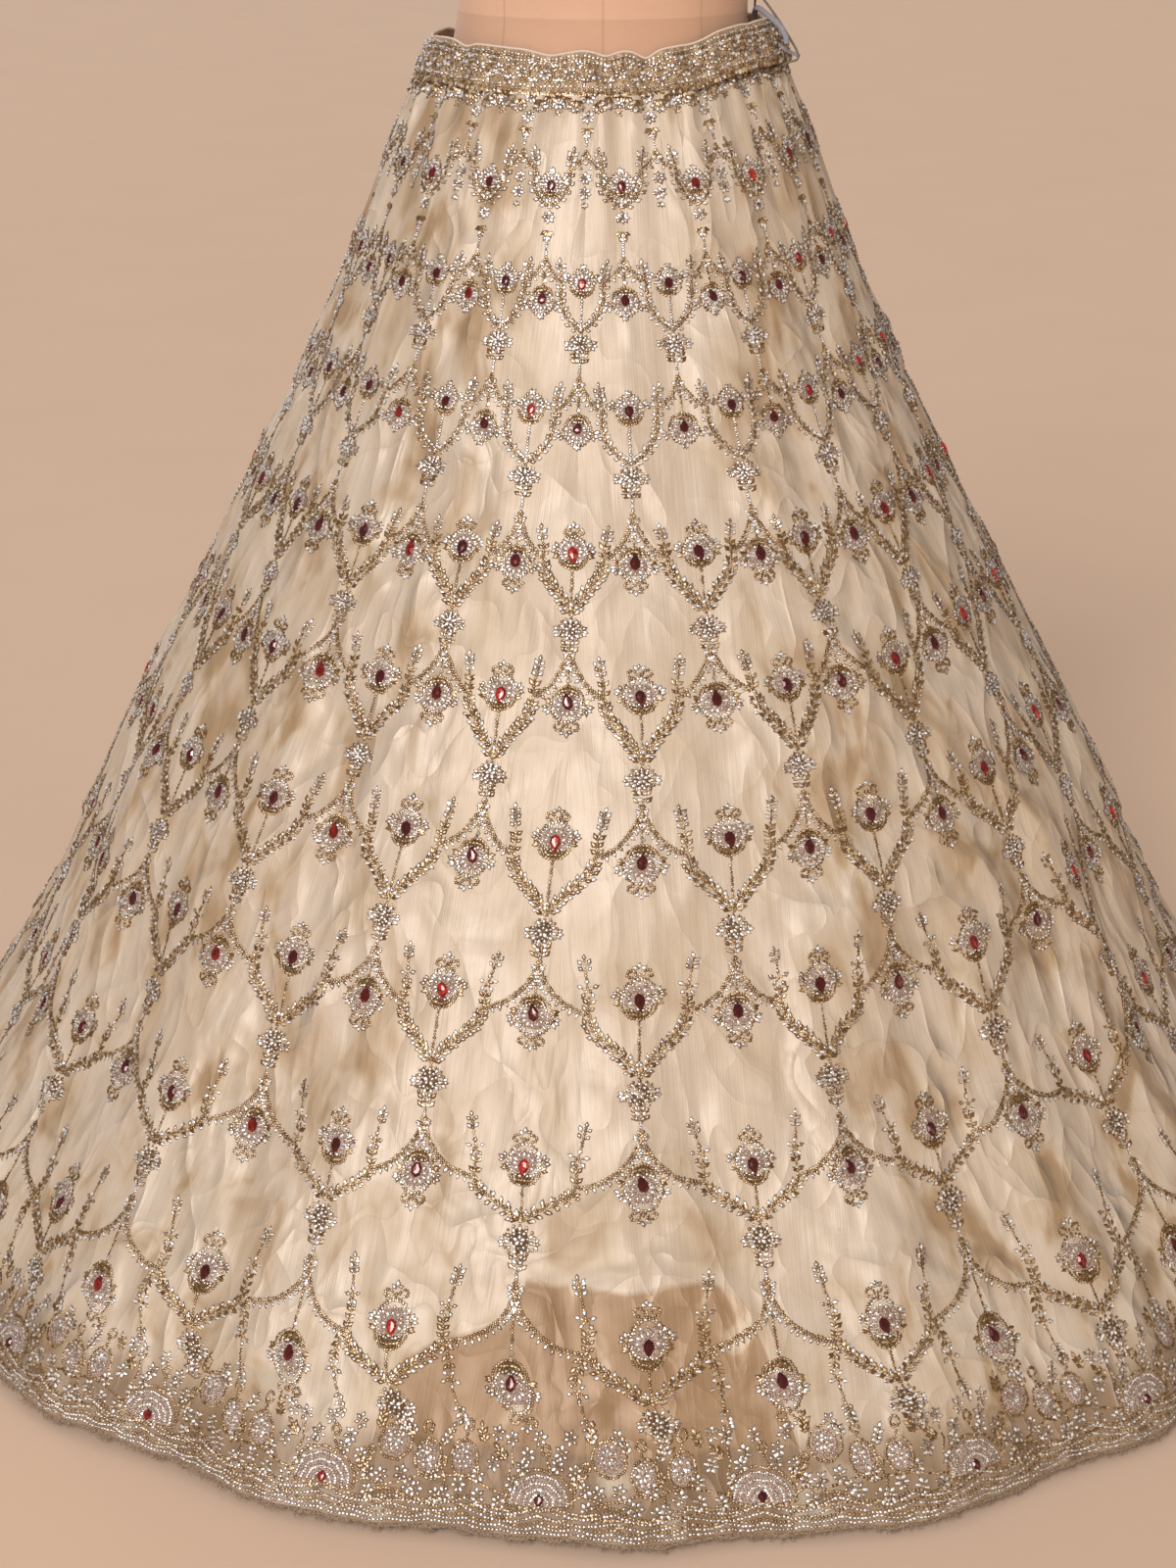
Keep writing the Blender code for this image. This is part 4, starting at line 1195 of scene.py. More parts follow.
class Stitches:
    """What is sewn on at every repeat, in the pattern's even places."""

    def __init__(self, anchors):
        self.anchors = np.asarray(anchors, float)[:, None]
        self.beads = {"gold": [], "silver": []}
        self.sequins = []
        self.stones = []
        self.patches = {"pink_fill": [], "gold_fill": [], "tan_fill": []}

    def repeat(self, turn, height):
        turn, height = np.broadcast_arrays(np.atleast_1d(turn), np.atleast_1d(height))
        return self.anchors + turn[None], height[None] + 0.0 * self.anchors

    def sew(self, turn, height, heading, bead):
        angle, level = self.repeat(turn, height)
        heading = np.broadcast_to(heading, angle.shape)
        sizes = [np.full(angle.shape, size) for size in (bead.long, bead.wide, bead.tall)]
        rows = np.stack([angle, level, heading, *sizes], -1).reshape(-1, 6)
        self.beads[bead.metal].append(rows)

    def string(self, path, bead, pitch=SEED_PITCH, offset=0.0, turned=0.0, clear=0.0):
        """Beads at an even pitch along a path; offset is to its left, clear is left at its ends."""
        turns, heights = (np.asarray(values, float) for values in path)
        middle = 0.5 * (heights[1:] + heights[:-1])
        across = np.diff(turns) * metres_per_degree(middle)
        up = np.diff(heights) * cloth_slant(middle)
        length = np.concatenate([[0.0], np.cumsum(np.hypot(across, up))])
        usable = length[-1] - 2.0 * clear
        count = max(1, round(usable / pitch))
        at = clear + (np.arange(count) + 0.5) / count * usable
        turn, height = np.interp(at, length, turns), np.interp(at, length, heights)
        step = np.clip(np.searchsorted(length, at) - 1, 0, len(across) - 1)
        heading = np.arctan2(up[step], across[step])
        turn = turn - np.sin(heading) * offset / metres_per_degree(height)
        height = height + np.cos(heading) * offset / cloth_slant(height)
        self.sew(turn, height, heading + math.radians(turned), bead)

    def leaf_pairs(self, path, bead, pitch, reach, opening, clear=0.0):
        for side in SIDES:
            self.string(path, bead, pitch, side * reach, side * opening, clear)

    def burst(self, spot, x, y, degrees, reach, bead):
        """Beads that point away from x, y."""
        degrees = np.asarray(degrees, float)
        side, up = np.cos(np.radians(degrees)), np.sin(np.radians(degrees))
        turn, height = spot.at(x + reach * side, y + reach * up)
        self.sew(turn, height, spot.heading(degrees), bead)

    def bursts(self, spot, *rows):
        """A burst for each row of x, y, degrees, reach and bead."""
        for row in rows:
            self.burst(spot, *row)

    def flower(self, spot, x, y, petals, reach, bead, first=90.0):
        degrees = first + 360.0 * np.arange(petals) / petals
        self.burst(spot, x, y, degrees, reach, bead)
        if reach > SMALL_FLOWER:
            self.burst(spot, x, y, degrees, 0.42 * reach, GOLD_STITCH)
        self.burst(spot, x, y, [0.0], 0.0, GOLD_SEED if bead.metal == "silver" else SILVER_SEED)

    def curl(self, spot, x, y, radius, way, first, sweep, bead=GOLD_SEED):
        """A spiral that starts at first degrees and tightens as it goes."""
        t = np.linspace(0.0, 1.0, 16)
        degrees = np.radians(first + way * sweep * t)
        reach = radius * (1.0 - 0.45 * t)
        path = spot.at(x + reach * np.cos(degrees), y + reach * np.sin(degrees))
        self.string(path, bead, CURL_PITCH)

    def patch(self, kind, spot, x, y, swell):
        """A filled patch whose rim goes through these points."""
        angle, height = self.repeat(*spot.at(x, y))
        self.patches[kind].append((angle, height, swell))

    def stone(self, spot, x, y, long, wide):
        angle, height = self.repeat(*spot.at([x], [y]))
        turned = RNG.uniform(-STONE_TURN, STONE_TURN, angle.shape)
        heading = spot.heading(-90.0) + np.radians(turned)
        size = [np.full(angle.shape, value) for value in (long, wide)]
        self.stones.append(np.stack([angle, height, heading, *size], -1).reshape(-1, 5))

    def sequin(self, spot, x, y, size=SEQUIN_SIZE):
        angle, height = self.repeat(*spot.at(x, y))
        rows = np.stack([angle, height, np.full(angle.shape, size)], -1).reshape(-1, 3)
        self.sequins.append(rows[RNG.random(len(rows)) < SEQUINS_KEPT])


def lines(*points):
    """Evenly close points along a bent line through x, y pairs, as (xs, ys)."""
    xs, ys = np.asarray(points, float).T
    t = np.linspace(0.0, len(xs) - 1.0, 8 * len(xs))
    return np.interp(t, range(len(xs)), xs), np.interp(t, range(len(xs)), ys)


def arc_path(row):
    """From a cusp down to the arc's end, as turns to the right and heights."""
    t = np.linspace(0.0, math.pi / 2.0, 24)
    straight = t / (math.pi / 2.0)
    share = row.roundness
    x = share * (1.0 - np.cos(t)) + (1.0 - share) * straight
    y = share * np.sin(t) + (1.0 - share) * straight
    return x * row.arc_share * COLUMN_ANGLE / 2.0, row.cusp - y * (row.cusp - row.base)


BRANCH_LOW = ((0.0, 0.0), (0.10, 0.28), (0.43, 0.50), (0.72, 0.72), (1.0, 1.0))
BRANCH_HIGH = ((0.0, 0.0), (0.02, 0.35), (0.20, 0.62), (0.55, 0.84), (1.0, 1.0))


def branch_path(row, index):
    """From the arc's end to the junction under the next column."""
    x, y = lines(*(BRANCH_LOW if index >= CURLS_FROM_ROW else BRANCH_HIGH))
    half = COLUMN_ANGLE / 2.0
    start = row.arc_share * half
    return start + x * (half - start), row.base - y * (row.base - row.junction)


def mirrored(path, side):
    return side * np.asarray(path[0]), path[1]


MEDALLION_SLIM = 0.88
MEDALLION_TALL = 1.06
# Lines in shares of a medallion's width and height, from its side to its middle
MEDALLION_BOWL = ((0.46, 0.46), (0.30, 0.27), (0.10, 0.22), (0.0, 0.30))
MEDALLION_POCKET = ((0.34, 0.31), (0.24, 0.14), (0.0, 0.10))
MEDALLION_RAYS = (-28.0, 0.0, 30.0, 60.0, 90.0, 120.0, 150.0, 180.0, 208.0)
# The stone's place in a medallion's height, and its half length and half width
STONE_RISE = 0.46
BIG_STONE = (0.0078, 0.0046)
SMALL_STONE = (0.0060, 0.0039)


def sew_medallion(sewn, spot, row, index):
    """A stone in a ring of beads: a gold bowl under it, pink fill, sprays and curls."""
    w, h = MEDALLION_SLIM * row.width, MEDALLION_TALL * row.height
    big = index >= CURLS_FROM_ROW
    t = np.linspace(-math.pi, math.pi, 49)
    ring_x = 0.5 * w * np.sin(t) * (1.0 + 0.12 * np.cos(t))
    ring_y = 0.5 * h * (1.0 - np.cos(t))
    low = np.abs(t) < 1.45
    sewn.string(spot.at(ring_x[low], ring_y[low]), GOLD_SEED, 0.0022)
    for side in SIDES:
        upper = t * side > 1.40
        x, y = ring_x[upper], ring_y[upper]
        sewn.string(spot.at(x, y), SILVER_SEED, 0.0026)
        for line, bead in ((MEDALLION_BOWL, SILVER_SEED), (MEDALLION_POCKET, GOLD_STITCH)):
            bent = lines(*((across * w * side, up * h) for across, up in line))
            sewn.string(spot.at(*bent), bead, 0.0026)
        sewn.string(spot.at(1.12 * x, 1.04 * y), GOLD_SEED, 0.0028)
        far, near = 0.53 * w * side, 0.50 * w * side
        sewn.bursts(
            spot, (far, 0.60 * h, 90.0 - side * np.array([100.0, 62.0, 24.0]), 0.0042, SILVER_DROP),
            (far, 0.60 * h, [90.0 - side * 62.0], 0.0010, GOLD_STITCH))
        if big:
            leaves = 90.0 - side * np.array([100.0, 60.0])
            sewn.burst(spot, near, 0.40 * h, leaves, 0.0026, GOLD_LEAF)
            first = 90.0 + side * 110.0
            sewn.curl(spot, 0.25 * w * side, 1.13 * h, 0.15 * w, -side, first, 330.0)
    fill = np.linspace(-2.55, 2.55, 12)
    sewn.patch("pink_fill", spot, 0.42 * w * np.sin(fill), h * (0.58 - 0.33 * np.cos(fill)), 0.0005)
    bowl = np.linspace(-1.35, 1.35, 8)
    bowl_y = 0.378 * h * (1.0 - np.cos(bowl))
    sewn.patch("gold_fill", spot, 0.42 * w * np.sin(bowl), bowl_y, 0.0004)
    for degrees in MEDALLION_RAYS:
        far = (0.27 if abs(degrees - 90.0) > 80.0 else 0.30) * w
        sewn.burst(spot, 0.0, 0.52 * h, [degrees], far, SILVER_LONG)
    sewn.burst(spot, 0.0, 0.56 * h, np.arange(-15.0, 196.0, 26.0), 0.43 * w, SILVER_SEED)
    sewn.stone(spot, 0.0, STONE_RISE * h, *(BIG_STONE if big else SMALL_STONE))
    if big:
        sewn.string(spot.at([0.0, 0.0], [0.98 * h, 1.16 * h]), GOLD_SEED, 0.0019)
        sewn.burst(spot, 0.0, 1.24 * h, [30.0, 90.0, 150.0], 0.0034, SILVER_DROP)
        sewn.sequin(spot, [0.47 * w], [0.78 * h])
    else:
        sewn.burst(spot, 0.0, 1.02 * h, [55.0, 90.0, 125.0], 0.0016, SILVER_DROP)


LONG_SPRIG = 0.040
MIDDLE_SPRIG = 0.020


def sew_sprig(sewn, turn, height, length, side, down=False):
    """A spray that leans from the arc's end: leaves, a flower when it is long, and a bud."""
    spot = Spot(turn, height, -1.0 if down else 1.0, side * (3.0 if down else -7.0))
    bow = 0.05 * length * side
    x, y = lines((0.0, 0.0), (bow, 0.3 * length), (0.4 * bow, 0.65 * length), (0.0, length))
    stem = spot.at(x, y)
    if length > LONG_SPRIG:
        middle = 0.45 * length
        low = y < middle - 0.004
        high = y > middle + 0.004
        top = y > 0.74 * length
        foot = spot.at(x[low], y[low])
        sewn.string(foot, GOLD_SEED)
        sewn.leaf_pairs(foot, GOLD_LEAF, 0.0064, 0.0027, 42.0, 0.001)
        sewn.flower(spot, 0.7 * bow, middle, 5, 0.0056, SILVER_DROP, 90.0)
        sewn.string(spot.at(x[high], y[high]), GOLD_SEED)
        sewn.leaf_pairs(spot.at(x[top], y[top]), SILVER_DROP, 0.0050, 0.0029, 38.0)
    elif length > MIDDLE_SPRIG:
        half = y < 0.55 * length
        sewn.string(stem, GOLD_SEED)
        sewn.leaf_pairs(spot.at(x[half], y[half]), GOLD_LEAF, 0.0060, 0.0026, 42.0, 0.001)
        sewn.leaf_pairs(spot.at(x[~half], y[~half]), SILVER_DROP, 0.0048, 0.0027, 38.0)
    else:
        sewn.string(stem, GOLD_SEED)
        sewn.leaf_pairs(stem, SILVER_DROP, 0.0048, 0.0025, 38.0, 0.001)
    sewn.burst(spot, 0.0, length, [90.0], 0.0012, SILVER_DROP)
    sewn.sequin(spot, [0.003 * side], [length - 0.004])


BUD_RIM = np.radians(45.0 * np.arange(8))
TASSEL_LEAVES = (205.0, 240.0, 270.0, 300.0, 335.0)
TASSEL_DROPS = (240.0, 270.0, 300.0)


def sew_bud(sewn, row, index, below):
    """A cluster under the junction, with a tail down to the next row's cusp."""
    size = min(1.12, 0.74 + 0.05 * index)
    spot = Spot(0.0, row.junction)
    if index == 0:
        sewn.flower(spot, 0.0, -0.0075, 8, 0.0031, SILVER_DROP)
        sewn.burst(spot, 0.0, -0.019, TASSEL_LEAVES, 0.0030, GOLD_LEAF)
        sewn.burst(spot, 0.0, -0.0225, TASSEL_DROPS, 0.0026, SILVER_DROP)
    else:
        middle = -0.0125 * size
        sewn.patch("gold_fill", spot, 0.0072 * size * np.cos(BUD_RIM),
                   middle + 0.0098 * size * np.sin(BUD_RIM), 0.0002)
        for first, step, count, reach, bead in (
                (90.0, 72.0, 5, 0.0027, SILVER_DROP), (54.0, 36.0, 10, 0.0056 * size, SILVER_SEED),
                (65.0, 24.0, 15, 0.0104 * size, GOLD_SEED),
                (90.0, 32.7, 11, 0.0082 * size, SILVER_DROP)):
            sewn.burst(spot, 0.0, middle, first + step * np.arange(count), reach, bead)
        for side in SIDES:
            at = (0.0082 * size * side, middle - 0.0010)
            drops = 90.0 - side * np.array([60.0, 95.0, 130.0])
            sewn.burst(spot, *at, drops, 0.0042, SILVER_DROP)
            sewn.burst(spot, *at, drops[1:2], 0.0012, GOLD_STITCH)
        sewn.sequin(spot, [-0.0105 * size], [middle - 0.003])
        tail = spot.at([0.0, 0.0], [-0.0215 * size, -0.033 * size])
        sewn.leaf_pairs(tail, SILVER_DROP, 0.0044, 0.0024, -38.0)
        sewn.leaf_pairs(tail, GOLD_STITCH, 0.0044, 0.0010, -20.0)
        sewn.leaf_pairs(tail, GOLD_LEAF, 0.0058, 0.0050, -48.0)
    last = float(spot.at(0.0, -0.026 if index == 0 else -0.033 * size)[1])
    if last > below:
        sewn.string(([0.0, 0.0], [last, below]), SILVER_SEED, 0.0020)


LINE_PITCH = 0.0023
COMB_PITCH = 0.0052
SHORT_COMB_PITCH = 0.0046
# Sprigs that hang from the last row's arcs: how far along the arc, and their length
HANGING_SHARE = 0.92
HANGING_LENGTH = 0.060
NECK = Spot(0.0, 0.9955)
COLLAR = Spot(0.0, 0.9915)
TUFT_HEIGHT = 0.9950
TUFTS = ((-6.4, 0.0020), (-3.2, -0.0010), (3.2, -0.0010), (6.4, 0.0020))


def sew_under_band(sewn, upright, drop):
    """The first row's flowers and tassels on its cusps, and the tufts under the waistband."""
    sewn.flower(drop, 0.0, -0.004, 7, 0.0030, SILVER_DROP)
    sewn.flower(drop, 0.0, -0.016, 7, 0.0031, SILVER_DROP)
    sewn.burst(drop, 0.0, -0.024, [235.0, 270.0, 305.0], 0.0022, SILVER_DROP)
    for turn, y in TUFTS:
        sewn.bursts(
            Spot(turn, TUFT_HEIGHT),
            (0.0, y, [215.0, 243.0, 270.0, 297.0, 325.0], 0.0034, GOLD_LEAF),
            (0.0, y - 0.0035, [205.0, 250.0, 290.0, 335.0], 0.0050, SILVER_DROP),
            (0.0, y - 0.0035, [228.0, 270.0, 312.0], 0.0062, GOLD_SEED))
    sewn.flower(NECK, 0.0, 0.0, 8, 0.0032, SILVER_DROP)
    sewn.flower(NECK, 0.0, -0.0160, 8, 0.0033, SILVER_DROP)
    sewn.burst(NECK, 0.0, -0.0255, TASSEL_LEAVES, 0.0032, GOLD_LEAF)
    sewn.burst(NECK, 0.0, -0.0290, TASSEL_DROPS, 0.0026, SILVER_DROP)
    sewn.string(NECK.at([0.0, 0.0], [-0.0320, -0.0400]), SILVER_SEED, 0.0021)
    upright.flower(COLLAR, 0.0, 0.0, 7, 0.0031, SILVER_DROP)
    upright.flower(COLLAR, 0.0, -0.0075, 5, 0.0022, GOLD_STITCH)


def sew_row(index):
    """One level of the pattern: arcs from its cusps, branches, sprigs and medallions."""
    row = EMBROIDERY_ROWS[index]
    shift = index % 2 * COLUMN_ANGLE / 2.0
    cusps = FIRST_SEAM + shift + COLUMN_ANGLE * np.arange(PATTERN_COLUMNS)
    sewn = Stitches(cusps)
    arc, branch = arc_path(row), branch_path(row, index)
    curled = index >= CURLS_FROM_ROW
    for side in SIDES:
        line = mirrored(arc, side)
        sewn.string(line, GOLD_SEED, LINE_PITCH)
        sewn.string(line, GOLD_SEED, SEED_PITCH, -0.0020 * side, 0.0, 0.0010)
        sewn.string(line, SILVER_COMB, COMB_PITCH if curled else SHORT_COMB_PITCH,
                    -0.0044 * side, -90.0 * side, 0.0030)
        inside = tuple(values[:12] for values in line)
        sewn.string(inside, SILVER_SEED, 0.0026, -0.0052 * side, 0.0, 0.0030)
        twig = mirrored(branch, side)
        sewn.string(twig, GOLD_SEED, LINE_PITCH)
        sewn.string(twig, GOLD_STITCH, 0.0036, 0.0016 * side)
        if curled:
            sewn.leaf_pairs(twig, GOLD_LEAF, 0.0074, 0.0030, 145.0, 0.0020)
            sewn.leaf_pairs(twig, SILVER_DROP, 0.0074, 0.0042, 130.0, 0.0050)
        else:
            sewn.leaf_pairs(twig, SILVER_DROP, 0.0062, 0.0027, 145.0, 0.0020)
        sew_sprig(sewn, line[0][-1], row.base, row.sprig, side)
        if index == len(EMBROIDERY_ROWS) - 1:
            back = int(HANGING_SHARE * len(line[0]))
            sew_sprig(sewn, line[0][back], line[1][back] - 0.002, HANGING_LENGTH, side, down=True)
    below = (EMBROIDERY_ROWS[index + 1].cusp if index + 1 < len(EMBROIDERY_ROWS)
             else row.junction - 0.0285)
    upright = Stitches(cusps + COLUMN_ANGLE / 2.0)
    sew_bud(upright, row, index, below)
    bottom = row.stone - STONE_RISE * row.height / float(cloth_slant(row.stone))
    upright.string(([0.0, 0.0], [row.junction, bottom]), GOLD_SEED if curled else SILVER_SEED)
    upright.burst(Spot(0.0, row.junction + 0.004), 0.0, 0.0, [25.0, 155.0], 0.0050, SILVER_DROP)
    sew_medallion(upright, Spot(0.0, bottom), row, index)
    if row.pendant:
        top = row.pendant + STONE_RISE * row.height / float(cloth_slant(row.pendant))
        hung = min(row.cusp - 0.004, top + 0.033)
        if hung > top + 0.003:
            sewn.string(([0.0, 0.0], [hung, top]), GOLD_SEED)
        sewn.sequin(Spot(0.0, min(row.cusp - 0.012, top + 0.004)), [0.0008], [0.0])
        sew_medallion(sewn, Spot(0.0, top, -1.0), row, index)
    else:
        sew_under_band(sewn, upright, Spot(0.0, row.base - 0.004))
    return sewn, upright


HEM_REPEATS = 25
HEM_ANGLE = 360.0 / HEM_REPEATS
HEM_PITCH = 0.0030
HemLine = namedtuple("HemLine", "height rise scallops shift bead")
HEM_LINES = tuple(HemLine(*row) for row in (
    (0.0016, 0.0012, 6, 0.0, SILVER_SEED), (0.0040, 0.0020, 6, 0.0, SILVER_SEED),
    (0.0062, 0.0024, 6, 0.0, GOLD_SEED), (0.0078, 0.0044, 3, 0.5, SILVER_SEED),
    (0.0096, 0.0050, 4, 0.2, GOLD_SEED), (0.0118, 0.0056, 3, 0.5, SILVER_SEED),
    (0.0142, 0.0050, 3, 0.5, GOLD_SEED),
))
# The hem border, in millimetres: x from the middle of a repeat, y up from the hem's edge
MM = 0.001
FAN_FOOT = 19.0
HEM_FANS = ((26.0, 21.5, GOLD_SEED), (21.5, 18.0, SILVER_SEED), (16.5, 13.5, SILVER_SEED),
            (11.5, 9.5, SILVER_SEED), (6.8, 6.0, SILVER_SEED))
HEM_SMALL_FLOWERS = (
    (-24, 60), (-10, 50), (-1, 61), (17, 52), (28, 41), (47, 30), (76, 22), (92, 18), (-65, 26),
    (-49, 21), (-38, 43), (-36, 62), (63, 32), (-22, 32), (38, 19), (-32, 19), (-76, 19), (14, 44),
    (70, 24), (-14, 42), (24, 62), (62, 66), (-50, 34), (36, 31), (-86, 33),
)
# x, y, half width and half height
HEM_PINK_FLOWERS = ((55, 52, 13.0, 11.0), (83, 42, 10.0, 10.5), (-62, 43, 10.5, 11.0))
HEM_OVAL = (52, 18, 15.0, 4.2)
# x, y, radius and way round
HEM_CURLS = ((4, 53, 4.2, 1), (-60, 64, 4.6, -1), (80, 61, 4.6, 1), (37, 45, 3.6, -1),
             (-80, 40, 3.8, 1))
# x, y, length, lean in degrees and bead
HEM_SPRAYS = (
    (40, 60, 13.0, 8.0, GOLD_LEAF), (-80, 50, 15.0, 24.0, SILVER_DROP),
    (70, 56, 10.0, -20.0, SILVER_DROP), (-46, 55, 12.0, -18.0, GOLD_LEAF),
    (24, 34, 12.0, 62.0, GOLD_LEAF), (-28, 46, 11.0, -40.0, GOLD_LEAF),
)
HEM_VINES = (
    ((22, 21), (34, 27), (48, 24), (66, 27)), ((66, 27), (78, 31), (88, 27)),
    ((-88, 27), (-76, 31), (-60, 32), (-44, 28), (-26, 24), (-20, 20)),
    ((28, 28), (32, 38), (30, 46)), ((-46, 30), (-50, 36), (-52, 48)),
    ((22, 16), (40, 14), (60, 15), (88, 14)), ((-88, 15), (-60, 14), (-40, 16), (-22, 15)),
    ((-24, 54), (-22, 44), (-26, 36)), ((92, 52), (94, 40), (90, 30)),
)


def rippled(t, waves, depth):
    return 1.0 + depth * np.abs(np.sin(waves * t))


def sew_hem():
    """The border over the hem, on coordinates counted up from the hem's edge."""
    sewn = Stitches(FIRST_SEAM + HEM_ANGLE * np.arange(HEM_REPEATS))
    spot = Spot(0.0, 0.0)

    def at(x, y):
        return spot.at(np.asarray(x) * MM, np.asarray(y) * MM)

    across = np.linspace(-HEM_ANGLE / 2.0, HEM_ANGLE / 2.0, 121)
    for line in HEM_LINES:
        turned = math.pi * line.scallops * (across / HEM_ANGLE + 0.5) + line.shift * math.pi
        height = line.height + line.rise * (1.0 - np.abs(np.sin(turned)))
        sewn.string((across, height), line.bead, HEM_PITCH)
    t = np.linspace(0.0, math.pi, 26)
    ripple = rippled(t, 4.5, 0.05)
    for wide, tall, bead in HEM_FANS:
        fan = at(wide * np.cos(t) * ripple, FAN_FOOT + tall * np.sin(t) ** 0.8 * ripple)
        sewn.string(fan, bead, 0.0021)
    sewn.string(at(*lines((-26.0, FAN_FOOT), (0.0, 15.5), (26.0, FAN_FOOT))), GOLD_SEED)
    t = np.linspace(0.0, math.pi, 11)
    sewn.patch("pink_fill", spot, np.append(24.5 * np.cos(t), 0.0) * MM,
               (FAN_FOOT + np.append(20.0 * np.sin(t) ** 0.8, -2.0)) * MM, 0.0005)
    sewn.stone(spot, 0.0, 0.0225, 0.0054, 0.0040)
    sequins = np.array([(-3.0, 25.0), (3.5, 26.0), (0.5, 29.0), (-6.0, 21.0)]) * MM
    sewn.sequin(spot, *sequins.T, 0.0015)
    for x, y in HEM_SMALL_FLOWERS:
        sewn.flower(spot, x * MM, y * MM, 6, 0.0038, SILVER_DROP, 90.0 + 17.0 * x)
    t = np.linspace(0.0, 2.0 * math.pi, 33)
    ripple = rippled(t, 3.5, 0.07)
    for x, y, wide, tall in HEM_PINK_FLOWERS:
        petals = at(x + wide * np.cos(t) * ripple, y + tall * np.sin(t) * ripple)
        sewn.string(petals, GOLD_SEED, 0.0021)
        sewn.patch("pink_fill", spot, (x + 0.93 * wide * np.cos(t[:-1:3])) * MM,
                   (y + 0.93 * tall * np.sin(t[:-1:3])) * MM, 0.0005)
        heart = ((x - 1.5) * MM, (y + 1.5) * MM)
        sewn.flower(spot, *heart, 7, 0.0040, SILVER_DROP)
        sewn.burst(spot, *heart, 20.0 + 40.0 * np.arange(9), 0.0070, SILVER_SEED)
        shine = np.array([(x - 2.0, y + 3.0), (x + 2.5, y - 1.5)]) * MM
        sewn.sequin(spot, *shine.T, 0.0016)
    for x, y, radius, way in HEM_CURLS:
        sewn.curl(spot, x * MM, y * MM, radius * MM, way, -90.0 + 30.0 * way, 400.0)
        stem = lines((x, y - radius), (x + 4.0 * way, y - 11.0), (x + 3.0 * way, y - 17.0))
        sewn.string(at(*stem), GOLD_SEED)
    for x, y, long, lean, leaf in HEM_SPRAYS:
        foot = at(x, y)
        spray = Spot(float(foot[0]), float(foot[1]), 1.0, lean)
        stem = spray.at([0.0, 0.0], [0.0, long * MM])
        sewn.string(stem, GOLD_STITCH, 0.0030)
        sewn.leaf_pairs(stem, leaf, 0.0042, 0.0021, 40.0, 0.001)
        sewn.burst(spray, 0.0, long * MM, [90.0], 0.0014, leaf)
    x, y, wide, tall = HEM_OVAL
    t = np.linspace(0.0, 2.0 * math.pi, 25)
    sewn.string(at(x + wide * np.cos(t), y + tall * np.sin(t)), GOLD_SEED, 0.0023)
    sewn.patch("tan_fill", spot, (x + 0.9 * wide * np.cos(t[:-1:2])) * MM,
               (y + 0.86 * tall * np.sin(t[:-1:2])) * MM, 0.0006)
    for vine in HEM_VINES:
        sewn.string(at(*lines(*vine)), GOLD_STITCH, 0.0031)
    return sewn


BAND_REPEATS = 46
BAND_LINES = ((0.08, SILVER_SEED), (0.145, GOLD_STITCH), (0.21, SILVER_SEED),
              (0.80, SILVER_SEED), (0.88, GOLD_SEED), (0.96, GOLD_STITCH))


BAND_MIDDLE = -0.48
BAND_FOOT = -0.985


def sew_band():
    """The waistband's beads, on heights counted down from 0 at its top to -1 at its bottom."""
    middle = SLIT_ANGLE + 360.0 * (np.arange(BAND_REPEATS) + 0.5) / BAND_REPEATS
    step = 360.0 / BAND_REPEATS
    metre = 1.0 / BAND_HEIGHT
    degree = 1.0 / float(metres_per_degree(SKIRT_LENGTH))
    sewn = Stitches(middle)

    def burst(turn, level, degrees, reach, bead):
        heading = np.radians(degrees)
        side, up = np.cos(heading), np.sin(heading)
        sewn.sew(turn + reach * side * degree, level + reach * up * metre, heading, bead)

    for share, bead in BAND_LINES:
        turns = (np.arange(6) + 0.5) / 6.0 * (step - 0.25) - step / 2.0 + 0.12
        sewn.sew(turns, -share + 0.012 * np.sin(turns), 0.5, bead)
    rows = [(0.0, BAND_MIDDLE, np.arange(7) * 51.4, 0.0034, SILVER_DROP),
            (0.0, BAND_MIDDLE, np.arange(9) * 40.0, 0.0064, GOLD_SEED),
            (0.0, BAND_MIDDLE, [0.0], 0.0, GOLD_SEED)]
    for side in SIDES:
        turn, level = side * step * 0.40, BAND_MIDDLE - 0.14 * side
        rows += [(turn, level, np.arange(7) * 48.0, 0.0027, GOLD_SEED),
                 (turn, level, [0.0], 0.0, SILVER_SEED),
                 (turn, BAND_MIDDLE + 0.20 * side, [30.0, 90.0, 150.0, 270.0], 0.0022, SILVER_DROP),
                 (side * step * 0.25, BAND_FOOT, [205.0, 245.0, 295.0, 335.0], 0.0032, GOLD_LEAF)]
    rows += [(0.0, BAND_FOOT, [215.0, 270.0, 325.0], 0.0042, SILVER_DROP),
             (0.0, BAND_FOOT, [215.0, 270.0, 325.0], 0.0016, GOLD_STITCH)]
    for row in rows:
        burst(*row)
    return sewn


def bead_axes(surface, angle, height, heading):
    """Points on the cloth, directions along and across each bead, and outward normals."""
    point, east, up, normal = surface.sample(angle, height)
    along = east * np.cos(heading)[:, None] + up * np.sin(heading)[:, None]
    return point, along, np.cross(normal, along), normal


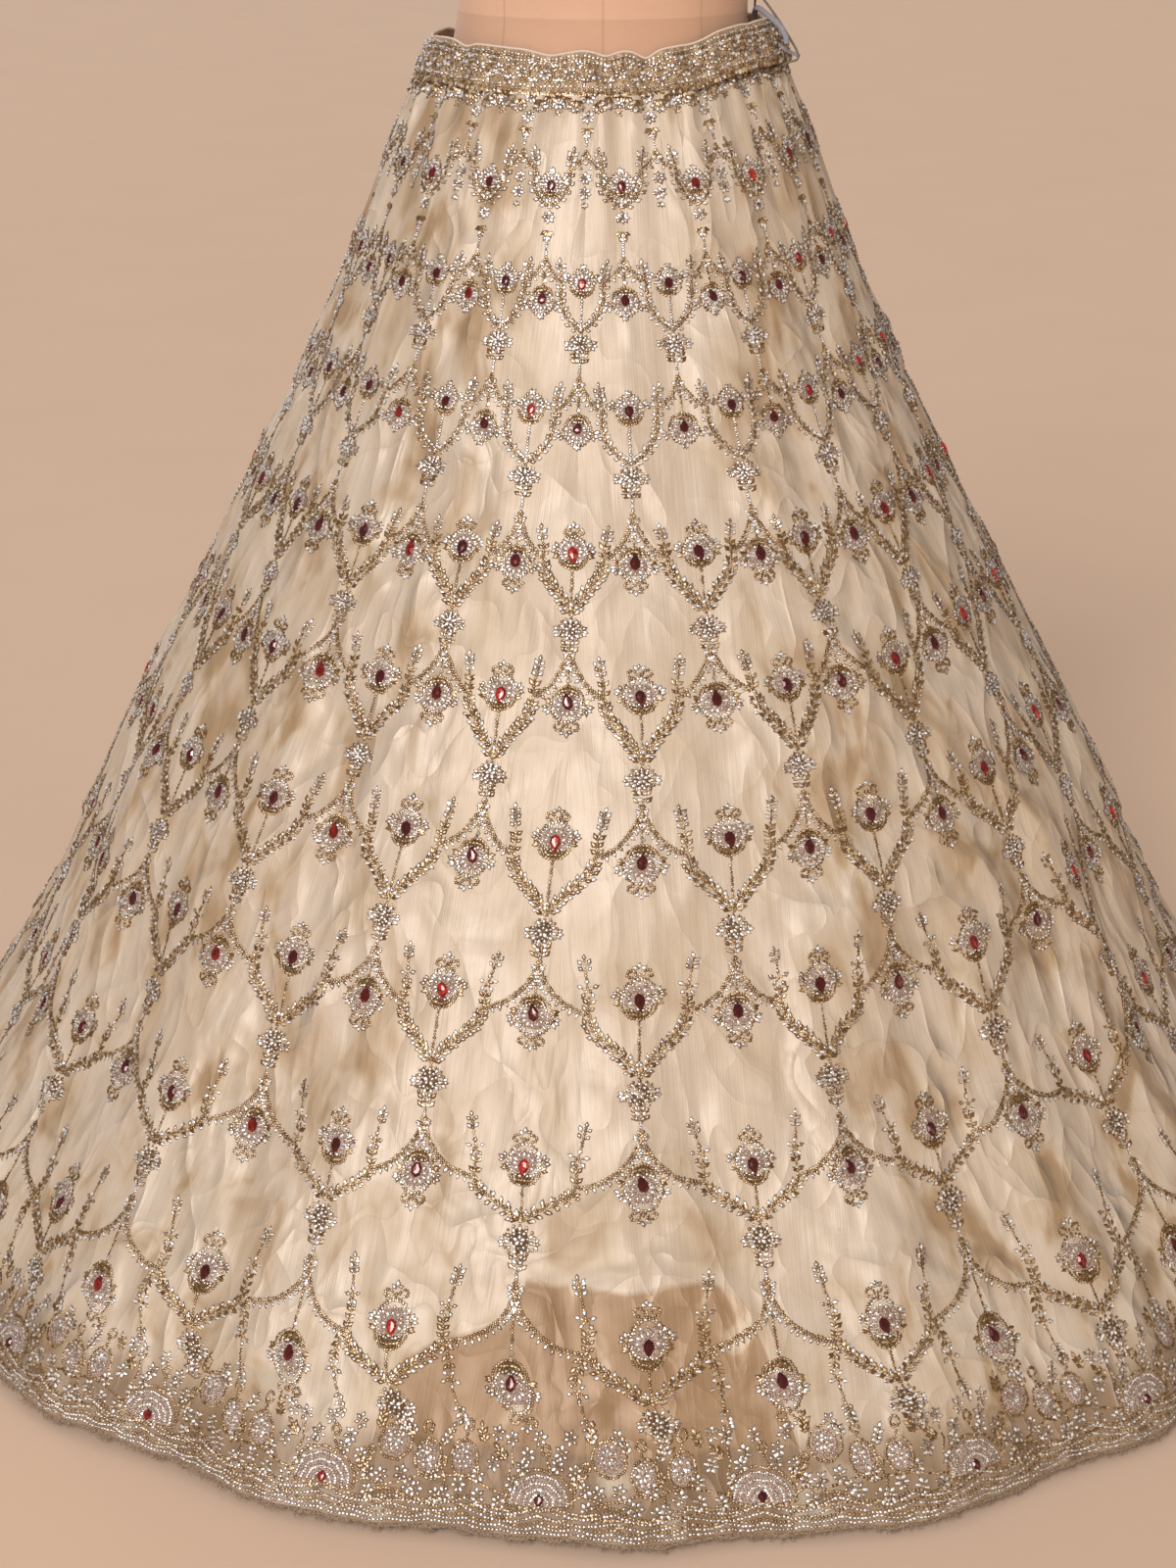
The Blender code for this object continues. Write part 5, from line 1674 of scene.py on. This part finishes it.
def sew_beads(name, rows, surface, cover, slot_name):
    """Four sided pyramids that sit in the cloth, shaded smooth."""
    count = len(rows)
    angle, height, heading, long, wide, tall = rows.T
    heading = heading + RNG.normal(0.0, BEAD_TURN, count)
    size = RNG.uniform(*BEAD_SIZES, count)[:, None]
    point, east, up, normal = surface.sample(angle, height)
    stray = RNG.normal(0.0, BEAD_STRAY, (count, 2))
    point = point + east * stray[:, :1] + up * stray[:, 1:]
    along = east * np.cos(heading)[:, None] + up * np.sin(heading)[:, None]
    across = np.cross(normal, along)
    lean = RNG.normal(0.0, BEAD_LEAN, (count, 2))
    top = normal + along * lean[:, :1] + across * lean[:, 1:]
    seat = point - normal * BEAD_SINK
    long, wide, tall = (values[:, None] * size for values in (long, wide, tall))
    points = np.stack([seat + along * long, seat + across * wide, seat - along * long,
                       seat - across * wide, point + top * tall], 1)
    faces = template_faces([(k, (k + 1) % 4, 4) for k in range(4)], count, 5)
    obj = mesh_object(name, points, faces, [cover])
    # rise runs from 0 at each bead's seat to 1 at its tip, for the painted seat shade and tip
    # highlight.
    set_attribute(obj, "rise", np.tile((0.0, 0.0, 0.0, 0.0, 1.0), count))
    finish_piece(obj, slot_name)


def sew_sequins(name, rows, surface):
    """Small bright discs, each tilted its own way."""
    count = len(rows)
    angle, height, size = rows.T
    point, east, up, normal = surface.sample(angle, height)
    lean = RNG.normal(0.0, SEQUIN_LEAN, (count, 2))
    face = unit(normal + east * lean[:, :1] + up * lean[:, 1:])
    east = unit(east - face * (east * face).sum(-1, keepdims=True))
    up = np.cross(face, east)
    centre = point + normal * SEQUIN_LIFT
    turns = np.radians(60.0 * np.arange(6))
    rim = [centre + size[:, None] * (east * math.cos(t) + up * math.sin(t)) for t in turns]
    points = np.stack([*rim, centre + face * SEQUIN_CROWN], 1)
    template = [(k, (k + 1) % 6, 6) for k in range(6)] + [(0, k + 1, k) for k in range(1, 5)]
    faces = template_faces(template, count, points.shape[1])
    obj = mesh_object(name, points, faces, [SEQUIN_COVER], smooth=False)
    finish_piece(obj, "sequins")


def dome_template(rim):
    """Faces of three rings of rim points each, closed by one point on top."""
    template = []
    for ring in (0, rim):
        for k in range(rim):
            a, b = ring + k, ring + (k + 1) % rim
            template += [(a, b, b + rim), (a, b + rim, a + rim)]
    return template + [(2 * rim + k, 2 * rim + (k + 1) % rim, 3 * rim) for k in range(rim)]


STONE_RIM = np.radians((0.0, 42.0, 84.0, 130.0, 180.0, 230.0, 276.0, 318.0))
# Each ring's share of the stone's size, and its height over the cloth
STONE_RINGS = ((1.0, 0.0002), (1.0, 0.0012), (0.58, 0.0024))
STONE_CROWN = 0.0026
# Each ring's share of the fill's size, and of its swell; the first is sunk by its own depth
FILL_RINGS = ((1.0, -0.0002), (0.92, 0.5), (0.5, 0.9), (0.0, 1.0))


def sew_stones(name, rows, surface):
    """Faceted teardrops, their points along their headings."""
    count = len(rows)
    angle, height, heading, long, wide = rows.T
    point, along, across, normal = bead_axes(surface, angle, height, heading)
    rims = []
    for scale, rise in STONE_RINGS:
        for t in STONE_RIM:
            x = math.cos(t)
            y = math.sin(t) * (0.96 if x < 0.0 else 1.0 - 0.62 * x)
            x = x if x > 0.0 else 0.78 * x
            shift = long[:, None] * along * (x * scale) + wide[:, None] * across * (y * scale)
            rims.append(point + shift + normal * rise)
    rims.append(point + normal * STONE_CROWN)
    points = np.stack(rims, 1)
    template = dome_template(8) + [(0, k + 1, k) for k in range(1, 7)]
    faces = template_faces(template, count, points.shape[1])
    obj = mesh_object(name, points, faces, [STONE_COVER], smooth=False)
    finish_piece(obj, "red_stones")


def sew_patches(name, patches, surface, locate, cover, slot_name):
    """Low domes of stitched fill, each through its own rim."""
    points, faces, start = [], [], 0
    for angle, height, swell in patches:
        count, rim = angle.shape
        middle_angle = angle.mean(1, keepdims=True)
        middle_height = height.mean(1, keepdims=True)
        layers = []
        for share, rise in FILL_RINGS:
            ring_angle = middle_angle + (angle - middle_angle) * share
            ring_height = middle_height + (height - middle_height) * share
            if share == 0.0:
                ring_angle, ring_height = ring_angle[:, :1], ring_height[:, :1]
            place_now, _, _, normal = surface.sample(*locate(ring_angle, ring_height))
            lift = rise if rise < 0.0 else rise * swell
            layers.append(place_now + normal * lift)
        block = np.concatenate(layers, 1)
        faces.append(template_faces(dome_template(rim), count, block.shape[1], start))
        points.append(block.reshape(-1, 3))
        start += len(points[-1])
    obj = mesh_object(name, np.concatenate(points), np.concatenate(faces), [cover])
    finish_piece(obj, slot_name)


# Each cover's first colour is painted shade at the bead's seat; its tips run from the bead's own
# tint to a painted highlight.
SILVER_COVER = make_beads_cover(
    "silver_beads", (0.060, 0.030, 0.012), (0.21, 0.135, 0.080),
    ((0.08, (0.27, 0.205, 0.17)), (0.45, (0.56, 0.50, 0.475)), (0.88, (0.96, 0.95, 0.97))),
    0.20, 0.35)
GOLD_COVER = make_beads_cover(
    "gold_beads", (0.060, 0.028, 0.008), (0.170, 0.085, 0.027),
    ((0.10, (0.125, 0.064, 0.022)), (0.55, (0.27, 0.155, 0.062)), (0.92, (0.70, 0.53, 0.33))),
    0.28, 0.40)


def make_stone_cover():
    shader = Shader("red_stone", 0.16, 0.25, Coat_Weight=0.30, Coat_Roughness=0.05)
    # Each stone's own deep red, brighter on some stones as a painted glint, with noise that paints
    # dark facet reflections over it.
    each = shader.each()
    painted_dark_facets = shader.noise(shader.object_place(), 260.0, 2.0)
    dark = shader.ramp(each, ((0.30, (0.080, 0.004, 0.004)), (0.66, (0.16, 0.006, 0.005)),
                              (0.84, (0.32, 0.012, 0.006)), (0.97, (0.54, 0.030, 0.010))))
    shader.link(shader.mix(shader.level(painted_dark_facets, 0.42, 0.60, 0.0, 0.75), dark,
                           (0.040, 0.002, 0.002, 1.0)), "Base Color")
    return shader.material


def make_sequin_cover():
    shader = Shader("sequin", 0.12, 0.85, Coat_Weight=0.5, Coat_Roughness=0.05)
    tints = shader.ramp(shader.each(), ((0.2, (0.80, 0.74, 0.70)), (0.8, (0.97, 0.95, 0.93))))
    shader.link(tints, "Base Color")
    return shader.material


def make_fill_cover(name, dark, pale, bright, roughness, metallic):
    """Close rows of tiny stitches and sequins."""
    shader = Shader(name, roughness, metallic)
    spots = shader.node("ShaderNodeTexVoronoi", {
        "Vector": shader.object_place(), "Scale": 640.0}).outputs["Distance"]
    shine = shader.noise(shader.object_place(), 900.0, 2.0, 0.7)
    ground = shader.ramp(spots, ((0.10, pale), (0.62, dark)))
    lit = shader.level(shine, 0.60, 0.70, 0.0, 0.9)
    shader.link(shader.mix(lit, ground, (*bright, 1.0)), "Base Color")
    shader.link(shader.bump(spots, -0.0011, 0.9), "Normal")
    return shader.material


SEQUIN_COVER = make_sequin_cover()
STONE_COVER = make_stone_cover()
FILL_COVERS = {
    "pink_fill": make_fill_cover("pink_fill", (0.27, 0.17, 0.12), (0.60, 0.475, 0.41),
                                 (0.95, 0.90, 0.88), 0.34, 0.30),
    "gold_fill": make_fill_cover("gold_fill", (0.085, 0.042, 0.014), (0.27, 0.148, 0.052),
                                 (0.62, 0.43, 0.22), 0.36, 0.4),
    "tan_fill": make_fill_cover("tan_fill", (0.16, 0.090, 0.050), (0.36, 0.235, 0.15),
                                (0.50, 0.36, 0.25), 0.5, 0.2),
}
METALS = (("gold", GOLD_COVER, "gold_beads"), ("silver", SILVER_COVER, "silver_beads"))


def over_hem(angle, height):
    """From places counted up from the hem's edge to heights."""
    return angle, hem_height(angle) + height


def on_band(angle, level):
    """From -1 at the band's bottom and 0 at its top to heights."""
    return angle, band_top(angle) + level * (band_top(angle) - band_bottom(angle))


def sew_group(name, parts, surface, locate):
    """Build the meshes of several sets of stitches that belong together."""
    def located(blocks):
        rows = np.concatenate(blocks)
        rows[:, 0], rows[:, 1] = locate(rows[:, 0], rows[:, 1])
        return rows

    for metal, cover, slot_name in METALS:
        rows = located([block for part in parts for block in part.beads[metal]])
        sew_beads(f"{name}_{metal}", rows, surface, cover, slot_name)
    stones = [block for part in parts for block in part.stones]
    if stones:
        sew_stones(f"{name}_stones", located(stones), surface)
    sequins = [block for part in parts for block in part.sequins]
    if sequins:
        sew_sequins(f"{name}_sequins", located(sequins), surface)
    for kind, cover in FILL_COVERS.items():
        patches = [patch for part in parts for patch in part.patches[kind]]
        if patches:
            slot_name = "gold_beads" if kind == "gold_fill" else "sequins"
            sew_patches(f"{name}_{kind}", patches, surface, locate, cover, slot_name)


def sew_all(skirt, band):
    for index in range(len(EMBROIDERY_ROWS)):
        sew_group(f"row_{index + 1}", sew_row(index), skirt, warp)
    sew_group("hem", (sew_hem(),), skirt, over_hem)
    sew_group("band", (sew_band(),), band, on_band)


make_camera()
for cord_row in CORDS:
    make_cord(cord_row)
SKIRT = make_skirt_surface()
BAND = make_band_surface()
make_panels(SKIRT)
make_band(BAND)
make_piping(BAND)
make_edging(SKIRT)
make_torso()
paint_cad("form_neck_cap", FORM_WOOD)
paint_cad("form_pole", FORM_METAL)
paint_cad("form_base", FORM_METAL)
sew_all(SKIRT, BAND)
make_stage()
